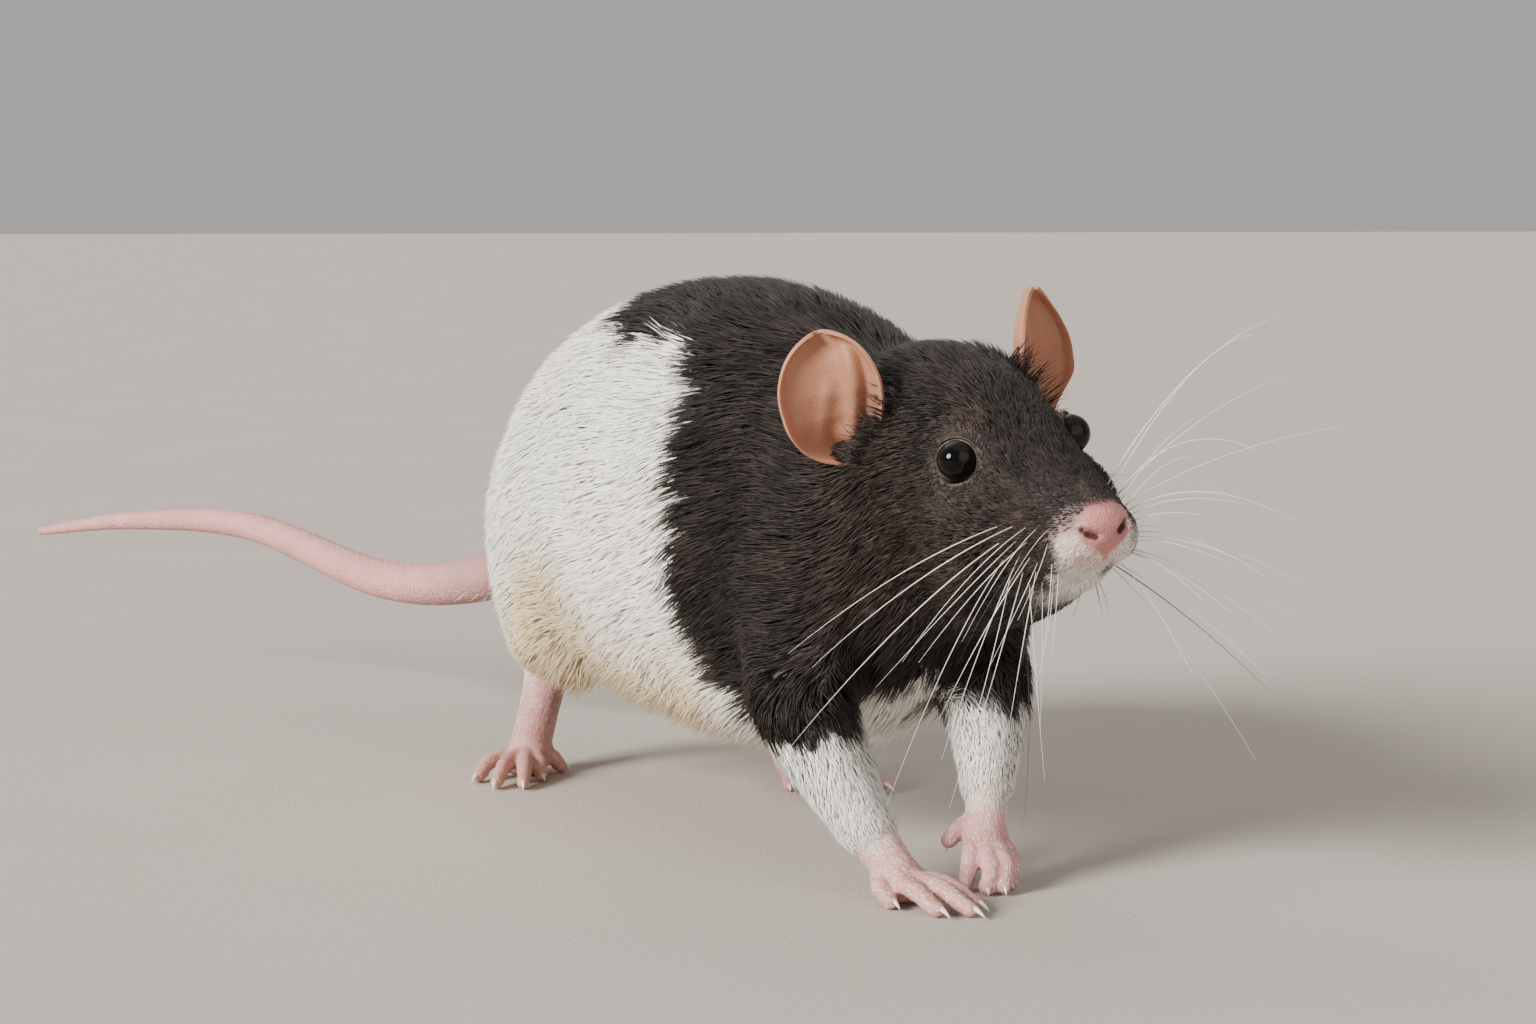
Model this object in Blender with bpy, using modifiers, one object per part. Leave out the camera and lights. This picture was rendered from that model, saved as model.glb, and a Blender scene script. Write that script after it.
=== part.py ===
"""A hooded pet rat, standing and looking ahead, as a still life-size model.

The body frame has the nose towards -Y, the animal's left towards +X and the floor at Z = 0.
Sizes are in millimetres and become metres where a mesh is built.
"""

import math

import bmesh
import bpy
import numpy as np
from mathutils import Euler, Matrix, Vector

MM = 0.001

# Driving dimensions of the animal
BODY_ORIGIN = (17.9, -78.5, 0.0)  # where the body frame's origin stands in the model's frame
HEAD_PLACE = (0.0, -79.8, 75.4)  # midpoint between the eyes
HEAD_TURN = (0.0, -10.0, -4.0)  # degrees: pitch, roll with the left side up, yaw to the right
EYE_RADIUS = 3.4
EYE_PLACE = (10.4, 0.0, 0.0)  # the left eye in the head's frame
EAR_PLACE = (20.7, 21.4, 11.4)  # the left ear's middle in the head's frame
EAR_TURN = {1: (4.0, 5.0, 32.0), -1: (4.0, 5.0, 32.0)}  # degrees: tip forward, lean out, turn out
EAR_THICKNESS = 1.0
EAR_COLUMNS = 10
EAR_CUP, EAR_STALK_CUP, EAR_STALK, EAR_WIDEST = 2.9, 3.6, 13.0, 8.7
EAR_FOLD, EAR_FOLD_AT, EAR_FOLD_WIDTH = 0.9, 0.42, 0.16
# Height, outer half width and inner half width of each row of an ear, left (1) and right (-1).
EAR_OUTLINE = {
    -1: [(-13.0, 4.2, 4.2), (-9.5, 5.6, 5.6), (-6.0, 7.4, 7.4), (-3.0, 8.2, 8.2), (0.0, 8.5, 8.5),
         (3.0, 8.1, 8.1), (5.8, 6.9, 6.9), (8.0, 5.1, 5.1), (9.5, 3.3, 3.3), (10.3, 1.4, 1.4)],
    1: [(-13.0, 4.2, 5.2), (-9.5, 5.6, 8.0), (-6.0, 7.0, 10.6), (-3.0, 7.2, 11.6), (0.0, 6.7, 11.2),
        (3.0, 5.5, 9.8), (5.8, 4.0, 7.5), (8.0, 2.5, 5.0), (9.5, 1.3, 3.1), (10.3, 0.5, 1.2)],
}
GAP = 0.3  # clearance between neighbouring pieces

# Fineness of the sculpted surfaces, and faces kept on each
BODY_VOXEL = 0.9
BODY_SMOOTHING = 9
FOOT_VOXEL = 0.42
FOOT_SMOOTHING = 2
BODY_TRIANGLES = 5200
HEAD_TRIANGLES = 11500  # on the whole body, of which the head's share is used
FOOT_TRIANGLES = 520

# Each station: y, top, bottom, half width. The head's are in its own frame, from nose to neck.
HEAD_STATIONS = {
    "nose tip": (-26.4, -8.4, -13.4, 2.4),
    "nostrils": (-25.0, -6.4, -15.6, 4.8),
    "lip": (-22.0, -4.6, -17.8, 6.4),
    "whisker pads": (-17.0, -1.8, -20.6, 7.8),
    "bridge": (-9.5, 3.0, -24.8, 9.6),
    "eyes": (0.0, 8.6, -28.8, 12.6),
    "brow": (8.0, 12.8, -31.4, 16.2),
    "cheeks": (17.0, 15.8, -34.0, 19.0),
    "nape": (28.0, 17.0, -37.0, 21.4),
    "neck": (40.0, 14.0, -41.0, 20.0),
    "neck end": (44.0, 4.0, -30.0, 8.0),
}
TRUNK_STATIONS = {
    "throat": (-64.0, 78.0, 46.0, 12.0),
    "collar": (-54.0, 86.0, 34.0, 21.0),
    "shoulders": (-38.0, 91.6, 25.0, 26.0),
    "ribs": (-20.0, 97.6, 20.5, 29.5),
    "waist": (0.0, 101.2, 19.0, 32.5),
    "loin": (20.0, 101.8, 20.5, 34.0),
    "hips": (40.0, 99.5, 23.0, 34.0),
    "croup": (60.0, 93.5, 27.5, 31.5),
    "rump": (77.0, 82.5, 32.0, 25.0),
    "tail root": (90.0, 67.0, 37.0, 16.0),
    "rump end": (96.0, 56.0, 42.0, 7.0),
}

# Limbs, as points down the middle and the radius at each
FORELEGS = {
    "right": (
        [(-18.0, -38.0, 48.0), (-20.5, -46.0, 32.0), (-19.0, -55.5, 19.5), (-15.2, -64.0, 8.0)],
        [11.0, 9.6, 6.8, 4.2],
    ),
    "left": (
        [(15.0, -38.0, 48.0), (14.0, -49.0, 33.0), (9.8, -57.0, 23.5), (6.2, -62.4, 13.6)],
        [11.0, 9.0, 6.4, 4.0],
    ),
}
HINDLEGS = {
    "right": (
        [(-19.0, 50.0, 50.0), (-21.5, 47.0, 37.5), (-17.5, 66.0, 28.0), (-13.0, 77.0, 20.5)],
        [13.5, 12.4, 8.6, 5.2],
    ),
    "left": (
        [(19.0, 43.0, 50.0), (20.0, 29.0, 38.0), (18.6, 36.0, 28.5), (15.8, 43.0, 20.5)],
        [13.5, 12.0, 8.6, 5.2],
    ),
}
THIGHS = {-1: (-18.5, 55.0, 49.0), 1: (18.0, 46.0, 50.0)}  # by side, the right first
TAIL_PATH = [
    (0.0, 78.0, 54.0),
    (-3.0, 97.0, 42.6),
    (-12.0, 119.0, 32.2),
    (-25.0, 143.0, 30.2),
    (-40.0, 188.0, 40.5),
    (-56.0, 230.0, 39.0),
    (-70.0, 264.0, 34.0),
]
TAIL_RADII = [15.0, 7.2, 5.0, 4.2, 3.0, 1.9, 0.9]
TAIL_CUTS = (0.205, 0.45, 0.72)  # shares of the tail's path at the ends of its lengths

# Face, in the head's frame
LID_RADII = (EYE_RADIUS + 0.5, EYE_RADIUS + 1.0, EYE_RADIUS + 0.8)
LID_OPENING = [(11.3, -0.2, 0.0), (12.3, -0.45, 0.1), (18.0, -1.9, 0.6)]
LID_OPENING_RADII = [2.5, 4.6, 8.0]
NOSTRIL = [(3.5, -25.4, -10.2), (2.5, -27.0, -11.4), (1.6, -28.0, -11.0)]
NOSTRIL_RADII = [0.35, 0.8, 0.7]
MOUTH = [(0.4, -26.0, -17.6), (2.6, -24.0, -18.6), (5.0, -21.0, -19.8), (7.0, -16.0, -20.6),
         (8.6, -10.0, -20.2)]
MOUTH_RADII = [0.5, 0.55, 0.55, 0.5, 0.3]
LIP_SPLIT = [(0, -28.5, -12.5), (0, -28.0, -14.5), (0, -26.5, -16.6), (0, -25.5, -18.0)]
LIP_SPLIT_RADII = [0.35, 0.4, 0.4, 0.45]

# Feet: the masses of the palm or sole, then each digit's base, knuckle, tip and claw tip
DIGIT_RADII = [2.0, 1.65, 1.25]
CLAW_RADII = [0.62, 0.2]
CLAW_LIFT = (0.5, 0.2)  # how far the claw's root and tip lie above the digit's own points
FOREFEET = {
    "right": {
        "axis": [(-17.6, -58.8, 14.6), (-15.2, -64.0, 8.0), (-14.8, -68.4, 5.4)],
        "axis_radii": [5.0, 4.2, 3.7],
        "masses": [
            ((-14.9, -67.6, 5.2), (4.6, 5.0, 3.6)),
            ((-14.6, -69.4, 2.4), (4.6, 3.6, 3.0)),
        ],
        "digits": [
            [(-16.8, -67.6, 4.2), (-18.9, -69.8, 3.6), (-18.5, -72.0, 0.7), (-18.2, -73.6, 0.4)],
            [(-15.9, -70.4, 4.2), (-15.9, -76.2, 3.6), (-14.9, -80.8, 0.7), (-14.4, -83.2, 0.4)],
            [(-13.5, -71.0, 4.4), (-11.9, -77.8, 3.8), (-10.1, -83.2, 0.7), (-9.4, -85.8, 0.4)],
            [(-11.4, -69.6, 4.2), (-8.9, -75.0, 3.6), (-6.9, -79.6, 0.7), (-6.1, -82.0, 0.4)],
        ],
    },
    "left": {
        "axis": [(8.2, -59.6, 18.8), (6.2, -62.4, 13.6), (4.9, -64.8, 9.2)],
        "axis_radii": [4.6, 4.0, 3.7],
        "masses": [
            ((5.0, -64.6, 9.4), (4.3, 3.3, 4.4)),
            ((4.4, -65.8, 6.6), (4.4, 2.8, 2.8)),
        ],
        "digits": [
            [(6.9, -65.6, 7.4), (7.6, -68.0, 4.6), (6.6, -68.8, 0.7), (6.4, -70.0, 0.4)],
            [(5.2, -66.8, 6.8), (5.0, -70.4, 4.4), (3.4, -71.6, 0.7), (3.1, -73.0, 0.4)],
            [(3.4, -66.6, 6.8), (2.4, -70.0, 4.4), (0.6, -70.8, 0.7), (0.2, -72.2, 0.4)],
            [(1.9, -65.0, 7.2), (0.0, -67.4, 4.8), (-1.2, -67.0, 0.7), (-1.5, -68.2, 0.4)],
            [(2.4, -62.4, 10.6), (0.4, -62.0, 9.6), (-0.9, -61.6, 7.6), (-1.3, -61.6, 6.2)],
        ],
    },
}
HINDFEET = {
    "right": {
        "axis": [(-13.0, 77.0, 20.5), (-17.2, 72.4, 12.0), (-21.6, 67.8, 5.4)],
        "axis_radii": [5.0, 4.5, 4.6],
        "masses": [
            ((-21.4, 67.6, 4.8), (5.4, 5.0, 4.6)),
            ((-23.2, 65.6, 2.6), (5.2, 4.6, 3.2)),
        ],
        "digits": [
            [(-26.4, 67.6, 4.0), (-31.4, 65.4, 3.6), (-34.8, 62.6, 0.7), (-36.8, 61.2, 0.4)],
            [(-26.0, 64.6, 4.2), (-30.8, 58.8, 3.8), (-34.6, 54.2, 0.7), (-36.2, 52.0, 0.4)],
            [(-24.2, 63.0, 4.4), (-27.4, 56.4, 3.8), (-30.0, 51.4, 0.7), (-31.0, 49.0, 0.4)],
            [(-21.8, 63.0, 4.2), (-22.8, 59.8, 3.6), (-23.4, 57.6, 0.7), (-23.6, 55.6, 0.4)],
            [(-19.4, 66.0, 4.0), (-17.4, 65.2, 3.4), (-15.6, 65.2, 0.7), (-14.0, 64.4, 0.4)],
        ],
    },
    "left": {
        "axis": [(15.8, 43.0, 20.5), (18.6, 38.0, 12.0), (21.6, 33.0, 5.4)],
        "axis_radii": [5.0, 4.5, 4.6],
        "masses": [
            ((21.6, 32.6, 4.8), (5.4, 5.0, 4.6)),
            ((22.8, 30.4, 2.6), (5.2, 4.6, 3.2)),
        ],
        "digits": [
            [(26.6, 31.0, 4.0), (31.0, 27.4, 3.6), (33.6, 24.0, 0.7), (34.8, 22.2, 0.4)],
            [(25.4, 28.2, 4.2), (29.0, 21.6, 3.8), (31.6, 16.4, 0.7), (32.6, 14.0, 0.4)],
            [(23.4, 27.2, 4.4), (25.4, 20.0, 3.8), (26.8, 14.4, 0.7), (27.2, 12.0, 0.4)],
            [(21.0, 27.4, 4.2), (21.4, 21.4, 3.6), (21.4, 17.4, 0.7), (21.4, 15.2, 0.4)],
            [(18.4, 30.2, 4.0), (16.6, 27.2, 3.4), (15.6, 25.0, 0.7), (14.8, 23.2, 0.4)],
        ],
    },
}

# Where the pieces part: side outlines (y, z) of each leg, and how far in from the side each reaches
LEG_CELLS = {
    "foreleg_right": {
        "outline": [(-74, 2), (-64, 34), (-56, 52), (-44, 62), (-30, 56), (-27, 42), (-36, 24), (-56, 2)],
        "inner": (-4.0, -14.5),
    },
    "foreleg_left": {
        "outline": [(-76, 8), (-66, 38), (-57, 53), (-44, 62), (-30, 56), (-27, 42), (-38, 26), (-52, 8)],
        "inner": (-1.0, 14.5),
    },
    "hindleg_right": {
        "outline": [(20, 30), (26, 52), (42, 70), (62, 70), (78, 54), (86, 34), (90, 14), (62, 10),
                    (40, 12)],
        "inner": (-3.0, -17.0),
    },
    "hindleg_left": {
        "outline": [(4, 28), (8, 50), (24, 67), (46, 70), (64, 56), (70, 38), (64, 14), (40, 10), (12, 14)],
        "inner": (3.0, 17.0),
    },
}
HEAD_CUT = ((0.0, -49.5, 76.0), (0.0, 0.93, -0.37))  # a point on the plane behind the ears, and its normal
NECK_CUT = ((0.0, -40.0, 76.0), (0.0, 0.95, -0.31))
CHEST_BOTTOM = 33.0  # the neck and the torso's front stay above this, the forelegs below it
WRIST_CUTS = {
    "foreleg_right": ((-15.8, -63.2, 9.6), (0.25, -0.62, -0.74)),
    "foreleg_left": ((6.6, -61.6, 14.6), (-0.32, -0.45, -0.83)),
    "hindleg_right": ((-14.4, 75.6, 18.0), (-0.40, -0.48, -0.78)),
    "hindleg_left": ((16.6, 41.6, 18.0), (0.28, -0.50, -0.82)),
}

# Colours, as base colour, roughness
SKINS = {
    "dark_coat": ((0.035, 0.028, 0.024), 0.85),
    "white_coat": ((0.74, 0.70, 0.63), 0.85),
    "bare_skin": ((0.72, 0.42, 0.36), 0.55),
    "ear_skin": ((0.62, 0.40, 0.31), 0.6),
    "eye": ((0.004, 0.003, 0.003), 0.05),
}
BIG = 400.0  # side of the boxes that part the body, longer than the animal
ANKLE_BLOCK = 24.0  # side of the box that cuts a leg off at its foot, short enough to spare the knee


def metres(point):
    return Vector([c * MM for c in point])


def catmull(values, per_span):
    """Points on a smooth curve through the rows of values, per_span steps to each span."""
    rows = np.array(values, float)
    padded = np.vstack([2 * rows[0] - rows[1], rows, 2 * rows[-1] - rows[-2]])
    out = []
    for i in range(len(rows) - 1):
        a, b, c, d = padded[i : i + 4]
        for t in np.arange(per_span) / per_span:
            square = (2 * a - 5 * b + 4 * c - d) * t**2
            cube = (3 * b - a - 3 * c + d) * t**3
            out.append(0.5 * (2 * b + (c - a) * t + square + cube))
    out.append(rows[-1])
    return np.array(out)


def keep(mesh, name):
    """A new object for this mesh, in the workshop collection."""
    obj = bpy.data.objects.new(name, mesh)
    bpy.data.collections["workshop"].objects.link(obj)
    return obj


def closed_mesh(name, verts, faces):
    """A mesh from points in millimetres and faces, with every face turned outwards."""
    mesh = bpy.data.meshes.new(name)
    mesh.from_pydata([metres(v) for v in verts], [], faces)
    bm = bmesh.new()
    bm.from_mesh(mesh)
    bmesh.ops.recalc_face_normals(bm, faces=bm.faces)
    bm.to_mesh(mesh)
    bm.free()
    return mesh


def ball(name, centre, radii, turn=(0.0, 0.0, 0.0), segments=32):
    """An ellipsoid of these radii, turned by degrees about X, Y and Z."""
    bm = bmesh.new()
    bmesh.ops.create_uvsphere(bm, u_segments=segments, v_segments=segments // 2, radius=1.0)
    size = Matrix.Diagonal(Vector([r * MM for r in radii] + [1.0]))
    spin = Euler([math.radians(a) for a in turn]).to_matrix().to_4x4()
    bm.transform(Matrix.Translation(metres(centre)) @ spin @ size)
    mesh = bpy.data.meshes.new(name)
    bm.to_mesh(mesh)
    bm.free()
    return keep(mesh, name)


def ring_faces(rings, around):
    """Faces of a closed skin over rings of points, with a cap at each end."""
    faces = []
    for ring in range(rings - 1):
        a, b = ring * around, (ring + 1) * around
        for i in range(around):
            j = (i + 1) % around
            faces.append((a + i, b + i, b + j, a + j))
    last = (rings - 1) * around
    faces.append(tuple(range(around)))
    faces.append(tuple(last + i for i in reversed(range(around))))
    return faces


def loft(name, stations, pear, around=40, per_span=6, squareness=0.92):
    """A closed skin through upright oval rings, wider below than above by the pear share."""
    rows = catmull(list(stations.values()), per_span)
    angles = 2 * math.pi * np.arange(around) / around
    cos, sin = np.cos(angles), np.sin(angles)
    verts = []
    for y, top, bottom, half in rows:
        x = half * np.sign(cos) * np.abs(cos) ** squareness * (1 - pear * sin)
        z = (top + bottom) / 2 + (top - bottom) / 2 * np.sign(sin) * np.abs(sin) ** squareness
        verts += [(a, y, b) for a, b in zip(x, z)]
    return keep(closed_mesh(name, verts, ring_faces(len(rows), around)), name)


def tube(name, points, radii, per_span=5, around=16):
    """A closed round tube through these points with a radius at each."""
    rows = catmull([(*p, r) for p, r in zip(points, radii)], per_span)
    places = [Vector(row[:3]) for row in rows]
    verts = []
    side = Vector((1.0, 0.1, 0.2))
    for i, row in enumerate(rows):
        ahead = places[min(i + 1, len(rows) - 1)] - places[max(i - 1, 0)]
        side = (side - ahead * (side.dot(ahead) / ahead.length_squared)).normalized()
        up = ahead.normalized().cross(side)
        for k in range(around):
            angle = 2 * math.pi * k / around
            verts.append(places[i] + (side * math.cos(angle) + up * math.sin(angle)) * row[3])
    return keep(closed_mesh(name, verts, ring_faces(len(rows), around)), name)


def limb(name, points, radii):
    """A tube with round ends."""
    ends = [ball(f"{name}_end", points[i], (radii[i],) * 3, segments=16) for i in (0, -1)]
    return [tube(name, points, radii), *ends]


def evaluated(obj):
    """The object's mesh as the viewport shows it, with the object's place in its points."""
    bpy.context.view_layer.update()
    graph = bpy.context.evaluated_depsgraph_get()
    mesh = bpy.data.meshes.new_from_object(obj.evaluated_get(graph))
    mesh.transform(obj.matrix_world)
    return mesh


def apply_modifiers(obj):
    mesh = evaluated(obj)
    obj.modifiers.clear()
    obj.data = mesh
    return obj


def gather(name, pieces):
    """One object that holds the meshes of all these pieces, which are then removed."""
    bm = bmesh.new()
    for piece in pieces:
        bm.from_mesh(piece.data)
        bpy.data.objects.remove(piece)
    joined = bpy.data.meshes.new(name)
    bm.to_mesh(joined)
    bm.free()
    return keep(joined, name)


def largest(obj):
    """Keeps only the largest of the object's separate surfaces."""
    bm = bmesh.new()
    bm.from_mesh(obj.data)
    seen, islands = set(), []
    for first in bm.verts:
        if first in seen:
            continue
        stack, island = [first], []
        seen.add(first)
        while stack:
            vert = stack.pop()
            island.append(vert)
            for edge in vert.link_edges:
                other = edge.other_vert(vert)
                if other not in seen:
                    seen.add(other)
                    stack.append(other)
        islands.append(island)
    islands.sort(key=len)
    spare = [v for island in islands[:-1] for v in island]
    bmesh.ops.delete(bm, geom=spare, context="VERTS")
    bm.to_mesh(obj.data)
    bm.free()
    return obj


def sculpt(name, pieces, voxel, smoothing):
    """The pieces fused into one closed surface, with the creases between them softened."""
    obj = gather(name, pieces)
    fuse = obj.modifiers.new("fuse", "REMESH")
    fuse.mode = "VOXEL"
    fuse.voxel_size = voxel * MM
    soften = obj.modifiers.new("soften", "SMOOTH")
    soften.factor = 0.5
    soften.iterations = smoothing
    return largest(apply_modifiers(obj))


def thin_out(obj, triangles):
    """Fewer faces, down to about this many triangles."""
    obj.data.calc_loop_triangles()
    fewer = obj.modifiers.new("fewer", "DECIMATE")
    fewer.ratio = min(1.0, triangles / len(obj.data.loop_triangles))
    fewer.use_collapse_triangulate = True
    return apply_modifiers(obj)


def boolean(obj, other, operation):
    cut = obj.modifiers.new("cut", "BOOLEAN")
    cut.operation = operation
    cut.object = other
    cut.solver = "MANIFOLD"
    return apply_modifiers(obj)


def copy_of(obj, name):
    return keep(obj.data.copy(), name)


def cut_away(obj, *cutters):
    for cutter in cutters:
        boolean(obj, cutter, "DIFFERENCE")
    return largest(obj)


def half_space(name, point, normal, shift=0.0, size=BIG):
    """A box on the side of the plane its normal points to, from shift along it."""
    bm = bmesh.new()
    bmesh.ops.create_cube(bm, size=size * MM)
    normal = Vector(normal).normalized()
    spin = normal.to_track_quat("Z", "Y").to_matrix().to_4x4()
    middle = Vector(point) + normal * (shift + size / 2)
    bm.transform(Matrix.Translation(middle * MM) @ spin)
    mesh = bpy.data.meshes.new(name)
    bm.to_mesh(mesh)
    bm.free()
    return keep(mesh, name)


def side_prism(name, outline, inner, grow):
    """A closed prism with a (y, z) outline, from far out on one side in to a leaning inner face.

    inner holds the face's x at the outline's lowest and at its highest point.
    """
    flat = np.array(outline, float)
    before, after = np.roll(flat, 1, 0), np.roll(flat, -1, 0)
    along = after - before
    normal = np.stack([along[:, 1], -along[:, 0]], 1)
    normal /= np.linalg.norm(normal, axis=1)[:, None]
    area = np.sum(flat[:, 0] * after[:, 1] - after[:, 0] * flat[:, 1])
    flat += grow * math.copysign(1.0, area) * normal
    side = math.copysign(1.0, inner[1])
    low, high = flat[:, 1].min(), flat[:, 1].max()
    share = (flat[:, 1] - low) / (high - low)
    reach = inner[0] + (inner[1] - inner[0]) * share - side * grow
    verts = [(side * 60.0, y, z) for y, z in flat] + [(x, y, z) for x, (y, z) in zip(reach, flat)]
    return keep(closed_mesh(name, verts, ring_faces(2, len(flat))), name)


def head_matrix():
    spin = Euler([math.radians(a) for a in HEAD_TURN], "YXZ").to_matrix().to_4x4()
    return Matrix.Translation(metres(HEAD_PLACE)) @ spin


def mirrored(point, side):
    return (side * point[0], point[1], point[2])


def in_head(obj):
    obj.data.transform(head_matrix())
    return obj


def head_masses():
    pieces = [loft("head_form", HEAD_STATIONS, pear=0.1)]
    pieces.append(ball("nose", (0, -25.0, -10.8), (4.2, 2.6, 3.8)))
    pieces.append(ball("chin", (0, -14.5, -19.8), (4.0, 5.4, 2.8)))
    for side in (-1, 1):
        pieces.append(ball("pad", (side * 4.3, -18.4, -13.4), (4.5, 6.2, 5.2), (0, 0, side * 14)))
        pieces.append(ball("cheek", (side * 9.6, 9.0, -13.5), (7.0, 15.5, 12.5), (0, 0, side * 17)))
    return [in_head(piece) for piece in pieces]


def body_masses():
    pieces = [loft("trunk", TRUNK_STATIONS, pear=0.14)]
    for side in (-1, 1):
        pieces.append(ball("shoulder", (side * 15.5, -38.0, 52.0), (13.5, 20.0, 24.0), (18, 0, 0)))
        hip = THIGHS[side]
        pieces.append(ball("thigh", hip, (14.0, 27.0, 29.0), (-24, 0, 0)))
    for points, radii in [*FORELEGS.values(), *HINDLEGS.values(), (TAIL_PATH[:5], TAIL_RADII[:5])]:
        pieces += limb("limb", points, radii)
    return pieces


def make_foot(name, plan):
    """A foot with its digits and claws, before it is cut at the floor and at the wrist or heel."""
    pieces = limb("axis", plan["axis"], plan["axis_radii"])
    pieces += [ball("palm", centre, size, segments=24) for centre, size in plan["masses"]]
    for digit in plan["digits"]:
        pieces += limb("digit", digit[:3], DIGIT_RADII)
    foot = thin_out(sculpt(name, pieces, FOOT_VOXEL, FOOT_SMOOTHING), FOOT_TRIANGLES)
    for digit in plan["digits"]:
        root = Vector(digit[2]).lerp(Vector(digit[3]), 0.2) + Vector((0, 0, CLAW_LIFT[0]))
        tip = Vector(digit[3]) + Vector((0, 0, CLAW_LIFT[1]))
        claw = tube("claw", [root, tip], CLAW_RADII, 1, 5)
        boolean(foot, claw, "UNION")
    return foot


def ear_sheet(side):
    """A cupped, stalked oval leaf in its own frame: x across, z up, open towards -y."""
    across = np.linspace(-1.0, 1.0, EAR_COLUMNS)
    verts = []
    for z, outer, inner in EAR_OUTLINE[side]:
        depth = EAR_CUP + EAR_STALK_CUP * max(0.0, -z) / EAR_STALK
        spread = ((outer + inner) / 2 / EAR_WIDEST) ** 0.5
        for u in across:
            half = outer if u < 0 else inner
            cup = depth * spread * (1 - u * u)
            ridge = math.exp(-(((u - EAR_FOLD_AT) / EAR_FOLD_WIDTH) ** 2))
            fold = EAR_FOLD * ridge * (1 - abs(z + 2) / 9) if -11 < z < 7 else 0.0
            lean_back = 0.03 * z * z if z > 0 else 0.32 * max(0.0, -4.0 - z)
            verts.append((-side * u * half, cup - fold + lean_back, z))
    n = len(across)
    faces = []
    for i in range(len(EAR_OUTLINE[side]) - 1):
        for j in range(n - 1):
            a = i * n + j
            faces.append((a, a + 1, a + n + 1, a + n))
    obj = keep(closed_mesh("ear", verts, faces), "ear")
    thick = obj.modifiers.new("thick", "SOLIDIFY")
    thick.thickness = EAR_THICKNESS * MM
    thick.offset = 0.0
    apply_modifiers(obj)
    tip, lean, turn = (math.radians(a) for a in EAR_TURN[side])
    spin = Matrix.Rotation(side * turn, 4, "Z")
    spin = spin @ Matrix.Rotation(side * lean, 4, "Y") @ Matrix.Rotation(tip, 4, "X")
    obj.data.transform(Matrix.Translation(metres(mirrored(EAR_PLACE, side))) @ spin)
    return in_head(obj)


def swollen(obj, name, amount):
    """A copy with every point pushed out along its normal."""
    copy = copy_of(obj, name)
    push = copy.modifiers.new("push", "DISPLACE")
    push.strength = amount * MM
    push.mid_level = 0.0
    return apply_modifiers(copy)


def surface_path(obj, points, side):
    """The points, in the head's frame, dropped on to the object's surface from their side."""
    matrix = head_matrix()
    out = []
    for point in points:
        near = obj.closest_point_on_mesh(matrix @ metres(mirrored(point, side)))[1]
        out.append(near / MM)
    return out


def carve_face(head):
    """Lids, eye sockets, nostrils, the split of the lip and the line of the mouth."""
    for side in (-1, 1):
        lid = ball("lid", mirrored(EYE_PLACE, side), LID_RADII, segments=22)
        opening = [mirrored(point, side) for point in LID_OPENING]
        boolean(lid, tube("opening", opening, LID_OPENING_RADII, 1), "DIFFERENCE")
        boolean(head, in_head(lid), "UNION")
        socket = ball("socket", mirrored(EYE_PLACE, side), (EYE_RADIUS + GAP,) * 3, segments=18)
        boolean(head, in_head(socket), "DIFFERENCE")
        nostril = [mirrored(point, side) for point in NOSTRIL]
        boolean(head, in_head(tube("nostril", nostril, NOSTRIL_RADII, 4, 8)), "DIFFERENCE")
        mouth = tube("mouth", surface_path(head, MOUTH, side), MOUTH_RADII, 4, 6)
        boolean(head, mouth, "DIFFERENCE")
    split = tube("split", surface_path(head, LIP_SPLIT, 1), LIP_SPLIT_RADII, 3, 6)
    boolean(head, split, "DIFFERENCE")
    return largest(head)


def tail_point(share):
    """A point on the tail's path at this share of it, with the direction and radius there."""
    rows = catmull([(*p, r) for p, r in zip(TAIL_PATH, TAIL_RADII)], 12)
    place = share * (len(rows) - 1)
    i = min(int(place), len(rows) - 2)
    row = rows[i] + (rows[i + 1] - rows[i]) * (place - i)
    return row[:3], (rows[i + 1] - rows[i])[:3], row[3]


def tail_length(name, start, end, steps):
    """A length of the tail between two shares of its path, set back from the first by the gap."""
    rows = [tail_point(start + (end - start) * i / steps) for i in range(steps + 1)]
    points = [Vector(row[0]) for row in rows]
    points[0] = points[0] + Vector(rows[0][1]).normalized() * GAP
    return tube(name, points, [row[2] for row in rows], 1, 14)


def material(name):
    colour, roughness = SKINS[name]
    made = bpy.data.materials.new(name)
    made.use_nodes = True
    shader = made.node_tree.nodes["Principled BSDF"]
    shader.inputs["Base Color"].default_value = (*colour, 1.0)
    shader.inputs["Roughness"].default_value = roughness
    shader.inputs["Metallic"].default_value = 0.0
    return made


def finish(parts):
    """Names, materials and the parent that sets the body frame in the model's frame."""
    root = bpy.data.objects.new("rat_frame", None)
    root.location = metres(BODY_ORIGIN)
    root.hide_render = True
    bpy.data.collections["rat"].objects.link(root)
    skins = {name: material(name) for name in SKINS}
    for name, (obj, skin) in parts.items():
        obj.name = name
        obj.data.name = name
        obj.data.materials.clear()
        obj.data.materials.append(skins[skin])
        bpy.data.collections["workshop"].objects.unlink(obj)
        bpy.data.collections["rat"].objects.link(obj)
        obj.parent = root
    for obj in list(bpy.data.collections["workshop"].objects):
        bpy.data.objects.remove(obj)


def start():
    for obj in list(bpy.data.objects):
        bpy.data.objects.remove(obj)
    for name in ("rat", "workshop"):
        bpy.context.scene.collection.children.link(bpy.data.collections.new(name))


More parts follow.
